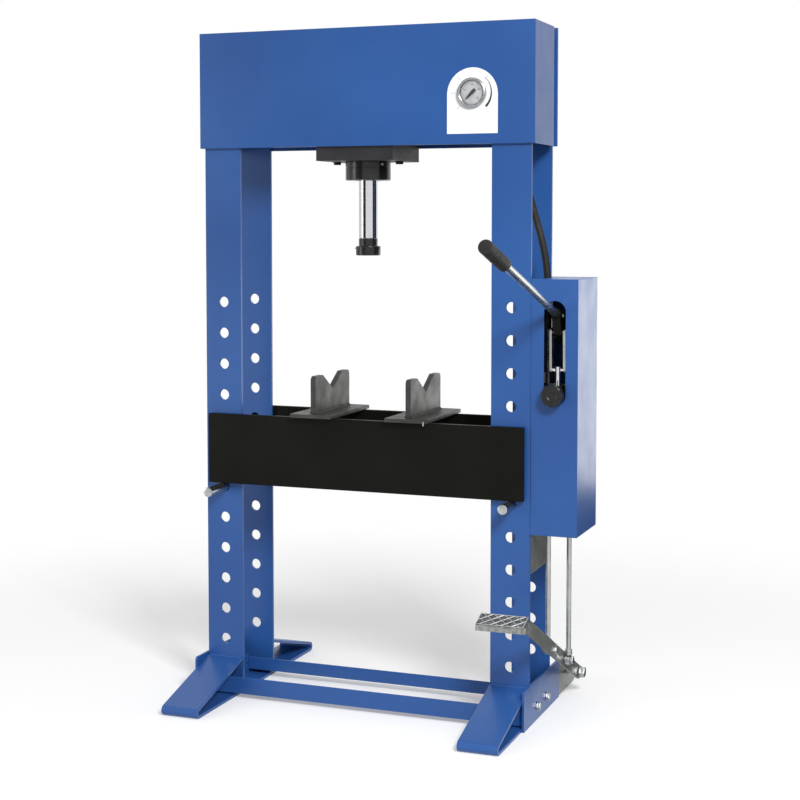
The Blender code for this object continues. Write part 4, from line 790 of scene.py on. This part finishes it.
def make_hose():
    cover = refined("hydraulic_hose", 0.3 * MM, 1)
    cover.normal_update()
    for vert, way in [(v, v.normal.copy()) for v in cover.verts]:
        vert.co += way * HOSE_COVER
    finish_piece(cover, "hose_cover", "frame", RUBBER, "hydraulic_hose", fresh=False)
    low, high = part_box("hydraulic_hose")
    radius = HOSE_RADIUS + HOSE_COVER
    body_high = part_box("pump_body")[1]
    start = Vector((high.x - radius, low.y + radius, body_high.z))
    inner, outer = radius + 0.2 * MM, radius + 2.2 * MM
    ferrule = [(inner, 4 * MM), (outer, 5 * MM), (outer, 12 * MM), (outer - MM, 13 * MM),
               (outer, 14 * MM), (outer, 30 * MM), (radius + 1.4 * MM, 31 * MM),
               (inner, 31 * MM), (inner, 4 * MM)]
    finish_piece(turned(ferrule, start, Z_AXIS, 32), "pump_hose_ferrule", "frame", ZINC)
    port = Vector((low.x, low.y + radius, high.z - radius))
    finish_piece(turned(ferrule, port, X_AXIS, 32), "cylinder_hose_ferrule", "frame", ZINC)


def make_knob():
    low, high, centre = span("release_knob")
    radius = (high.x - low.x) / 2
    length, stem = 22 * MM, 7 * MM
    at = Vector((centre.x, low.y, centre.z))
    profile = [(0, 3 * MM), (9 * MM, 3 * MM), (11 * MM, 1 * MM), (13.5 * MM, 0.2 * MM),
               (21 * MM, 0), (25 * MM, 0.8 * MM), (27.2 * MM, 3 * MM), (radius, 6 * MM),
               (radius, 16 * MM), (26.5 * MM, 20 * MM), (23 * MM, length), (12 * MM, length),
               (10 * MM, length + 3 * MM),
               (stem, length + 4 * MM), (stem, high.y - low.y), (0, high.y - low.y)]
    bm = turned(profile, at, Y_AXIS, 96)
    flute_knob(bm, centre, radius)
    finish_piece(bm, "release_handwheel", "release_knob", PHENOLIC, "release_knob", smooth=40)


KNOB_FLUTES = 8
FLUTE_DEPTH = 1.6 * MM


def flute_knob(bm, centre, radius):
    """Presses shallow finger hollows into the rim."""
    for vert in bm.verts:
        reach = Vector((vert.co.x - centre.x, vert.co.z - centre.z))
        if reach.length > radius * 0.9:
            wave = 0.5 - 0.5 * math.cos(KNOB_FLUTES * math.atan2(reach.y, reach.x))
            reach *= 1 - FLUTE_DEPTH * wave ** 2 / radius
            vert.co.x, vert.co.z = centre.x + reach.x, centre.z + reach.y


# Hand lever, links and plunger

LEVER_ANGLE = math.radians(17)
BAR_WAY = Vector((0, -math.cos(LEVER_ANGLE), math.sin(LEVER_ANGLE)))


BAR_RADIUS = 9 * MM


def bar_ends():
    """The lever bar's two ends on its axis."""
    low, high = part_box("lever_bar")
    lean, rise = BAR_RADIUS * math.sin(LEVER_ANGLE), BAR_RADIUS * math.cos(LEVER_ANGLE)
    x = (low.x + high.x) / 2
    back = Vector((x, high.y - lean, low.z + rise))
    front = Vector((x, low.y + lean, high.z - rise))
    return back, front


GRIP_END = 6 * MM
GRIP_RIBS = 9


def grip_shape():
    """The grip's outer tip on its axis, its radius and its length."""
    low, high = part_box("lever_grip")
    radius = (high.x - low.x) / 2
    lean, rise = math.sin(LEVER_ANGLE) * radius, math.cos(LEVER_ANGLE) * radius
    tip = Vector(((low.x + high.x) / 2, low.y + lean, high.z - rise))
    return tip, radius, (high.y - low.y - 2 * lean) / math.cos(LEVER_ANGLE)


def make_lever():
    refine("lever_socket", "hand_lever", BLACK, 0.6 * MM)
    back, front = bar_ends()
    way = (front - back).normalized()
    finish_piece(round_bar(BAR_RADIUS, back, front, 1.2 * MM, 40), "lever_tube", "hand_lever", ZINC,
                 "lever_bar")
    tip, radius, length = grip_shape()
    profile = [(0, 0), (radius - 6.5 * MM, 0), (radius - 1.7 * MM, 0.4 * MM),
               (radius - 0.3 * MM, 1.4 * MM), (radius, 3 * MM)]
    pitch = (length - 28 * MM) / GRIP_RIBS
    for i in range(GRIP_RIBS):
        at = 14 * MM + i * pitch
        profile += [(radius - 0.2 * MM, at), (radius - 0.9 * MM, at + 1 * MM),
                    (radius - 0.9 * MM, at + 2.2 * MM), (radius - 0.2 * MM, at + 3.2 * MM)]
    inner = BAR_RADIUS + FIT
    profile += [(radius, length - 4 * MM), (radius - 1.2 * MM, length - 1.2 * MM),
                (radius - 4 * MM, length), (inner, length), (inner, GRIP_END), (0, GRIP_END)]
    finish_piece(turned(profile, tip, -BAR_WAY, 56), "grip_sleeve", "hand_lever", RUBBER,
                 "lever_grip")
    add_cross_pins()
    socket_screw(back, way)


def socket_screw(back, way):
    """The screw that holds the bar in its socket."""
    at = back + way * 30 * MM + X_AXIS * 12 * MM
    screw = merge(hexagon(8 * MM, 3.5 * MM, at, X_AXIS),
                  round_bar(2.5 * MM, at, at + X_AXIS * 4.5 * MM))
    finish_piece(screw, "socket_screw", "hand_lever", ZINC)


PIN_RADII = {"link_pin": 4 * MM, "pump_plunger": 5 * MM}
PLUNGER_RADIUS = 8 * MM


def pin_with_clips(node, name, body, whole):
    """A spring clip at each end of a cross pin, and the pin itself where it is a node."""
    low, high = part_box(node)
    radius = PIN_RADII[node]
    centre = (low + high) / 2
    if node == "pump_plunger":
        centre = Vector((centre.x, centre.y, high.z - PLUNGER_RADIUS))
    parts = []
    if whole:
        ends = [(x, centre.y, centre.z) for x in (low.x, high.x)]
        parts.append(round_bar(radius, *ends, 0.5 * MM, 24))
    for x, way in ((low.x + 0.9 * MM, X_AXIS), (high.x - 0.9 * MM, -X_AXIS)):
        at = (x, centre.y, centre.z)
        parts.append(washer(radius - 0.2 * MM, radius + 2.2 * MM, 0.7 * MM, at, way))
    finish_piece(merge(*parts), name, body, ZINC, node if whole else None)


def add_cross_pins():
    pin_with_clips("link_pin", "crank_pin", "hand_lever", True)
    pin_with_clips("pump_plunger", "crosshead_clips", "plunger", False)


def make_plunger():
    NODES["pump_plunger"].material_slots[0].material = CHROME
    for side in ("left", "right"):
        refine(f"link_{side}", "plunger", ZINC, 0.7 * MM)


# Pedal

TREAD_TILT = math.radians(19)
LOZENGE_WIDTH = 26 * MM
LOZENGE_DEPTH = 24 * MM
LOZENGES = 8               # across the grid that the tread's outline is cut from
RIDGE = 3.4 * MM
RIDGE_HEIGHT = 0.7         # of a ridge's width
TREAD_DEPTH = 45 * MM
TREAD_MARGIN = 1.5 * MM
TREAD_THICKNESS = 4 * MM
TREAD_LIP = 12 * MM


def make_pedal():
    refine("pedal_arm", "pedal", GALVANISED, 0.8 * MM)
    refine("pedal_tread", "pedal", GALVANISED, 0.8 * MM)
    refine("pedal_bracket", "frame", GALVANISED, 0.8 * MM)
    refine("pull_rod", "pull_rod", ZINC, 0.4 * MM)
    refine("return_rod", "return_rod", ZINC, 0.4 * MM)
    finish_piece(tread_lattice(), "tread_ridges", "pedal", ZINC)
    finish_piece(arm_toe(), "pedal_arm_toe", "pedal", GALVANISED)
    add_pedal_bolts()
    add_lock_nuts()
    add_split_pin()


def tread_lattice():
    """The raised lattice of lozenges that keeps a boot from slipping."""
    low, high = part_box("pedal_tread")
    width = high.x - low.x - 2 * TREAD_MARGIN
    bm = bmesh.new()
    bmesh.ops.create_grid(bm, x_segments=LOZENGES, y_segments=LOZENGES,
                          size=LOZENGES / 2 / math.sqrt(2))
    turn = Matrix.Rotation(math.pi / 4, 3, "Z")
    bmesh.ops.rotate(bm, cent=(0, 0, 0), matrix=turn, verts=bm.verts)
    bmesh.ops.scale(bm, vec=(LOZENGE_WIDTH, LOZENGE_DEPTH, 1), verts=bm.verts)
    for normal, reach in (((1, 0, 0), width / 2), ((-1, 0, 0), width / 2),
                          ((0, 1, 0), TREAD_DEPTH / 2), ((0, -1, 0), TREAD_DEPTH / 2)):
        geom = bm.verts[:] + bm.edges[:] + bm.faces[:]
        bmesh.ops.bisect_plane(bm, geom=geom, plane_co=Vector(normal) * reach, plane_no=normal,
                               clear_outer=True, dist=MERGE)
    bmesh.ops.wireframe(bm, faces=bm.faces, thickness=RIDGE, use_replace=True, use_boundary=True,
                        use_even_offset=True)
    bmesh.ops.scale(bm, vec=(1, 1, RIDGE_HEIGHT), verts=bm.verts)
    back = Vector(((low.x + high.x) / 2, high.y - TREAD_THICKNESS * math.sin(TREAD_TILT), high.z))
    slope = Vector((0, -math.cos(TREAD_TILT), -math.sin(TREAD_TILT)))
    upward = Vector((0, -math.sin(TREAD_TILT), math.cos(TREAD_TILT)))
    centre = back + slope * (TREAD_DEPTH / 2 + TREAD_MARGIN) + upward * RIDGE * RIDGE_HEIGHT / 2
    bmesh.ops.rotate(bm, cent=(0, 0, 0), matrix=Matrix.Rotation(TREAD_TILT, 3, "X"), verts=bm.verts)
    bmesh.ops.translate(bm, vec=centre, verts=bm.verts)
    return bm


ARM_SLANT = 24 * MM        # of the arm's front end
ARM_END_DROP = 27.2 * MM   # of its lower corner below its upper one


def arm_toe():
    """The sheet at the arm's end that closes the corner up to the tread's turned-down lip."""
    arm_low, arm_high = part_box("pedal_arm")
    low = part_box("pedal_tread")[0]
    fold = low.z + TREAD_LIP + TREAD_THICKNESS
    outline = [(arm_low.y + ARM_SLANT, arm_high.z), (low.y + TREAD_THICKNESS, fold - MM),
               (low.y + MM, low.z + MM), (arm_low.y, arm_high.z - ARM_END_DROP)]
    return plate([outline], "X", arm_low.x + 0.2 * MM, arm_high.x - 0.2 * MM, 0.5 * MM)


EYE_BOLT = {"flats": 17 * MM, "height": 7 * MM, "washer_radius": 9.5 * MM, "shank": 5 * MM}
STUD = {"flats": 24 * MM, "height": 14 * MM, "washer_radius": 16 * MM, "shank": 6 * MM}
PULL_EYE_GAP = 3.5 * MM     # between the arm and each rod's eye
RETURN_EYE_GAP = 5.0 * MM


def add_pedal_bolts():
    arm_low, arm_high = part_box("pedal_arm")
    for rod, way, gap in (("pull_rod", 1, PULL_EYE_GAP), ("return_rod", -1, RETURN_EYE_GAP)):
        low, high, centre = span(f"{rod}_bolt")
        end, other = (high.x, low.x) if way > 0 else (low.x, high.x)
        near, far_side = (arm_high.x, arm_low.x) if way > 0 else (arm_low.x, arm_high.x)
        out = X_AXIS * way
        under = Vector((end - way * EYE_BOLT["height"], centre.y, centre.z))
        far = Vector((other, centre.y, centre.z))
        nut_at = Vector((far_side, centre.y, centre.z))
        stem = round_bar(EYE_BOLT["shank"], far, under + out * 2 * MM)
        sleeve_start = Vector((near, centre.y, centre.z)) + out * FIT
        sleeve = washer(5 * MM, 8 * MM, gap - FIT, sleeve_start, out)
        head_at = under + out * 1.4 * MM
        head = hexagon(EYE_BOLT["flats"], EYE_BOLT["height"] - 1.4 * MM, head_at, out)
        ring = washer(5 * MM, EYE_BOLT["washer_radius"], 1.4 * MM, under, out)
        nut = hexagon(15 * MM, 4.5 * MM, nut_at - out * FIT, -out)
        finish_piece(merge(stem, sleeve, head, ring, nut), f"{rod}_eye_bolt", "pedal", ZINC,
                     f"{rod}_bolt")
    low, high, centre = span("pedal_pivot_stud")
    under = Vector((high.x - STUD["height"], centre.y, centre.z))
    bracket_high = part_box("pedal_bracket")[1]
    parts = [hexagon(STUD["flats"], STUD["height"] - 2 * MM, under + X_AXIS * 2 * MM, X_AXIS),
             washer(6 * MM, STUD["washer_radius"], 2 * MM, under, X_AXIS),
             round_bar(STUD["shank"], (low.x, centre.y, centre.z), under + X_AXIS * 4 * MM),
             washer(6 * MM, 11 * MM, arm_low.x - bracket_high.x - 2 * FIT,
                    Vector((bracket_high.x + FIT, centre.y, centre.z)), X_AXIS)]
    finish_piece(merge(*parts), "pedal_stud", "frame", ZINC, "pedal_pivot_stud")


def add_lock_nuts():
    """The nuts that lock each rod in its eye."""
    for node in ("pull_rod", "return_rod"):
        low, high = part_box(node)
        at = Vector(((low.x + high.x) / 2, (low.y + high.y) / 2, low.z + 27 * MM))
        nuts = [hexagon(17 * MM, 5.5 * MM, at + Z_AXIS * step, Z_AXIS) for step in (0, 7 * MM)]
        finish_piece(merge(*nuts), f"{node}_lock_nuts", node, ZINC)


def wire(points, radius, sides=10):
    """A bent wire along the points, as a closed tube."""
    curve = bpy.data.curves.new("wire", "CURVE")
    curve.dimensions = "3D"
    curve.bevel_depth = radius
    curve.bevel_resolution = sides // 4
    curve.use_fill_caps = True
    spline = curve.splines.new("POLY")
    spline.points.add(len(points) - 1)
    for point, place in zip(spline.points, points):
        point.co = (*place, 1.0)
    return solid_of(curve, MERGE)


def add_split_pin():
    """The split pin through the return bolt's end, its legs bent apart."""
    low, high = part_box("return_rod_bolt")
    at = Vector((high.x - 2.5 * MM, (low.y + high.y) / 2, (low.z + high.z) / 2))
    legs = []
    for side in (-1, 1):
        points = [at + Vector((side * 0.9 * MM, 0, z * MM)) for z in (8, 4, 0, -6)]
        points += [at + Vector((side * 4 * MM, -2 * MM, -12 * MM)),
                   at + Vector((side * 9 * MM, -4 * MM, -17 * MM))]
        legs.append(wire(points, 1.1 * MM))
    ring = [at + Vector((2.6 * MM * math.cos(a), 0, 10 * MM + 2.6 * MM * math.sin(a)))
            for a in [math.radians(-70 + 320 * i / 12) for i in range(13)]]
    legs.append(wire(ring, 1.1 * MM))
    finish_piece(merge(*legs), "split_pin", "pedal", ZINC)


# Bed, pins and V-blocks

def make_bed():
    seams = []
    for node in ("bed_front_plate", "bed_back_plate"):
        refine(node, "bed", BLACK, 0.9 * MM, 3)
    front_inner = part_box("bed_front_plate")[1].y
    back_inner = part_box("bed_back_plate")[0].y
    for side, node in mirrored_sides("bed_spacer_{}"):
        refine(node, "bed", BLACK, 0.9 * MM)
        low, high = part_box(node)
        for y in (front_inner, back_inner):
            for x in (low.x, high.x):
                seams.append(((x, y, low.z + 3 * MM), (x, y, high.z - 3 * MM)))
    welds("bed_welds", "bed", BLACK, seams, 3 * MM)
    for side, node in mirrored_sides("bed_pin_{}"):
        low, high, centre = span(node)
        radius = (high.x - low.x) / 2
        edge = 2 * MM
        length = high.y - low.y
        profile = [(0, 0.6 * MM), (radius - 6 * MM, 0.6 * MM), (radius - 5.5 * MM, 0),
                   (radius - edge, 0),
                   (radius - 0.6 * MM, 0.7 * MM), (radius, edge), (radius, length - edge),
                   (radius - edge, length), (0, length)]
        bm = turned(profile, (centre.x, low.y, centre.z), Y_AXIS, 48)
        finish_piece(bm, f"{side}_bed_pin", f"bed_pin_{side}", ZINC, node)


V_UPRIGHT = 14 * MM
V_BASE = 10 * MM
V_NOTCH_HALF = 62.5 * MM
V_NOTCH_DEPTH = 40 * MM
V_CORNER = 12 * MM
V_SETBACK = 20 * MM


def make_v_blocks():
    for side, node in mirrored_sides("v_block_{}"):
        low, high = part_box(node)
        x, y = (low.x + high.x) / 2, (low.y + high.y) / 2
        base = block(low, (high.x, high.y, low.z + V_BASE), 1.3 * MM, 3)
        end, top, r = high.y - V_SETBACK, high.z, V_CORNER
        foot = low.z + V_BASE - 1 * MM
        back = [(end, foot)] + arc((end - r, top - r), r, 0, math.pi / 2, 10)
        back.append((y + V_NOTCH_HALF, top))
        front = [(2 * y - v, w) for v, w in reversed(back)]
        outline = back + [(y, top - V_NOTCH_DEPTH)] + front
        upright = plate([outline], "X", x - V_UPRIGHT / 2, x + V_UPRIGHT / 2, 1.1 * MM, 3)
        finish_piece(merge(base, upright), f"{side}_v_block", node, DARK_STEEL, node)
        z, inset = low.z + V_BASE, V_SETBACK + 4 * MM
        seams = []
        for way in (-1, 1):
            face = x + way * V_UPRIGHT / 2
            seams.append(((face, low.y + inset, z), (face, high.y - inset, z)))
        welds(f"{side}_v_block_welds", node, DARK_STEEL, seams, 5.5 * MM)
    low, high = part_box("v_block_right")
    seat = Vector((high.x - 9 * MM, low.y, low.z + 2 * MM))
    reach = Vector((1.6 * MM, 1.4 * MM, 7 * MM))
    clip = block(seat - reach, seat + Vector((reach.x, 0, reach.z / 2)), 0.4 * MM)
    finish_piece(clip, "v_block_stop", "v_block_right", ZINC)


# Studio

def press_middle():
    """The point of the floor between the columns."""
    left, right = middle("column_front_left"), middle("column_back_right")
    return Vector(((left.x + right.x) / 2, (left.y + right.y) / 2, 0))


def area_light(name, place, target, size, power):
    lamp = bpy.data.lights.new(name, "AREA")
    lamp.shape = "RECTANGLE"
    lamp.size, lamp.size_y = size
    lamp.energy = power
    item = bpy.data.objects.new(name, lamp)
    bpy.context.scene.collection.objects.link(item)
    item.location = press_middle() + Vector(place)
    item.rotation_euler = (Vector(target) - Vector(place)).to_track_quat("-Z", "Y").to_euler()


AMBIENT = 0.50


def seen_rays(tree):
    """1 for the rays that show the background directly, in gloss or through glass."""
    path = add_node(tree, "LightPath")
    seen = add_node(tree, "Math", {0: path.outputs["Is Camera Ray"],
                                   1: path.outputs["Is Glossy Ray"]}, operation="MAXIMUM")
    return add_node(tree, "Math", {0: seen.outputs[0], 1: path.outputs["Is Transmission Ray"]},
                    operation="MAXIMUM").outputs[0]


def make_world():
    world = bpy.data.worlds.new("studio")
    bpy.context.scene.world = world
    world.use_nodes = True
    tree = world.node_tree
    strength = add_node(tree, "MapRange", {"Value": seen_rays(tree), "To Min": AMBIENT,
                                           "To Max": 1.0})
    background = tree.nodes["Background"]
    background.inputs["Color"].default_value = (1, 1, 1, 1)
    tree.links.new(strength.outputs["Result"], background.inputs["Strength"])


FLOOR_SIZE = 60.0
FLOOR_LIFT = 0.27
FADE_START, FADE_END = 0.9, 2.6


def make_floor():
    """A pale floor that keeps the shadows near the press and fades to white beyond them."""
    material = bpy.data.materials.new("pale_floor")
    material.use_nodes = True
    tree = material.node_tree
    tree.nodes.remove(tree.nodes["Principled BSDF"])
    place = add_node(tree, "TexCoord").outputs["Object"]
    away = add_node(tree, "VectorMath", {0: place}, operation="LENGTH").outputs["Value"]
    seen = seen_rays(tree)
    fade = add_node(tree, "MapRange", {"Value": away, "From Min": FADE_START, "From Max": FADE_END},
                    interpolation_type="SMOOTHSTEP")
    chalk = add_node(tree, "BsdfDiffuse", {"Color": srgb("#E6E6E6")})
    lift = add_node(tree, "Math", {0: seen, 1: FLOOR_LIFT}, operation="MULTIPLY")
    glow = add_node(tree, "Emission", {"Strength": lift.outputs[0]})
    near = add_node(tree, "AddShader", {0: chalk.outputs[0], 1: glow.outputs[0]})
    white = add_node(tree, "Emission", {"Strength": seen})
    mix = add_node(tree, "MixShader", {0: fade.outputs["Result"], 1: near.outputs[0],
                                       2: white.outputs[0]})
    tree.links.new(mix.outputs[0], tree.nodes["Material Output"].inputs["Surface"])
    bm = bmesh.new()
    bmesh.ops.create_grid(bm, x_segments=1, y_segments=1, size=FLOOR_SIZE / 2)
    show(bm, "floor", material)


CAMERA_PLACE = Vector((1.5175, -3.8048, 1.2266))
CAMERA_TILT, CAMERA_TURN = math.radians(86.476), math.radians(20.90)


def make_camera():
    data = bpy.data.cameras.new("camera")
    data.sensor_width = 36
    data.lens = 72.37
    data.shift_y = -0.10
    data.dof.use_dof = False
    camera = bpy.data.objects.new("camera", data)
    bpy.context.scene.collection.objects.link(camera)
    camera.location = press_middle() + CAMERA_PLACE
    camera.rotation_euler = (CAMERA_TILT, 0, CAMERA_TURN)
    bpy.context.scene.camera = camera


def reflector(name, centre, across, up, glow):
    """A card that only polished and painted faces mirror: dark as a flag, or bright."""
    material = bpy.data.materials.new(name)
    material.use_nodes = True
    tree = material.node_tree
    tree.nodes.remove(tree.nodes["Principled BSDF"])
    light = add_node(tree, "Emission", {"Color": srgb("#FFFFFF"), "Strength": glow})
    tree.links.new(light.outputs[0], tree.nodes["Material Output"].inputs["Surface"])
    half, up = Vector(across) / 2, Vector(up) / 2
    at = press_middle() + Vector(centre)
    bm = bmesh.new()
    corners = [at - half - up, at + half - up, at + half + up, at - half + up]
    bm.faces.new([bm.verts.new(corner) for corner in corners])
    card = show(bm, name, material)
    card.visible_camera = False
    card.visible_diffuse = False
    card.visible_shadow = False
    card.visible_transmission = False


# The grey card glow is painted shade: the two low cards stand for the floor's shadow behind the
# right foot, seen only in reflections.
BLACK_CARD, FLOOR_SHADOW_CARD, BRIGHT_CARD = 0.03, 0.05, 2.8


def make_reflectors():
    """Dark flags beside the press give the chromed rod its black streaks. A bright card stands
    where the flat of the pump's housing mirrors it. Two grey cards behind the right foot are painted
    shade: they stand for the floor's shadow there in what the nearby faces mirror."""
    reflector("left_flag", (-2.4, -3.05, 1.55), (-3.8, 0, 0), (0, 0, 1.5), BLACK_CARD)
    reflector("right_flag", (2.95, 1.5, 1.55), (0, 3.9, 0), (0, 0, 1.3), BLACK_CARD)
    reflector("side_card", (1.06, 2.0, 0.68), (1.2, -0.3, 0), (0, 0, 0.85), BRIGHT_CARD)
    # Painted shade: these two grey cards put the floor's shadow behind the right foot into the
    # reflections of the faces beside it.
    reflector("floor_shadow_card", (0.78, 0.42, 0.004), (0.5, 0, 0), (0, 0.9, 0), FLOOR_SHADOW_CARD)
    reflector("low_shadow_card", (1.1, 0.95, 0.21), (1.3, 0, 0), (0, 0, 0.42), FLOOR_SHADOW_CARD)


def make_studio():
    bpy.context.scene.view_settings.view_transform = "Standard"
    make_reflectors()
    make_world()
    make_floor()
    make_camera()
    area_light("key", place=(2.6, -2.9, 3.3), target=(0, 0, 0.9), size=(1.1, 1.1), power=170)
    area_light("fill", place=(-3.2, -3.0, 1.2), target=(0, 0, 0.6), size=(2.0, 2.0), power=45)


make_columns()
make_base()
make_beam()
make_cylinder()
make_ram()
make_gauge()
make_gauge_label()
make_housing()
make_hose()
make_knob()
make_lever()
make_plunger()
make_pedal()
make_bed()
make_v_blocks()
make_studio()
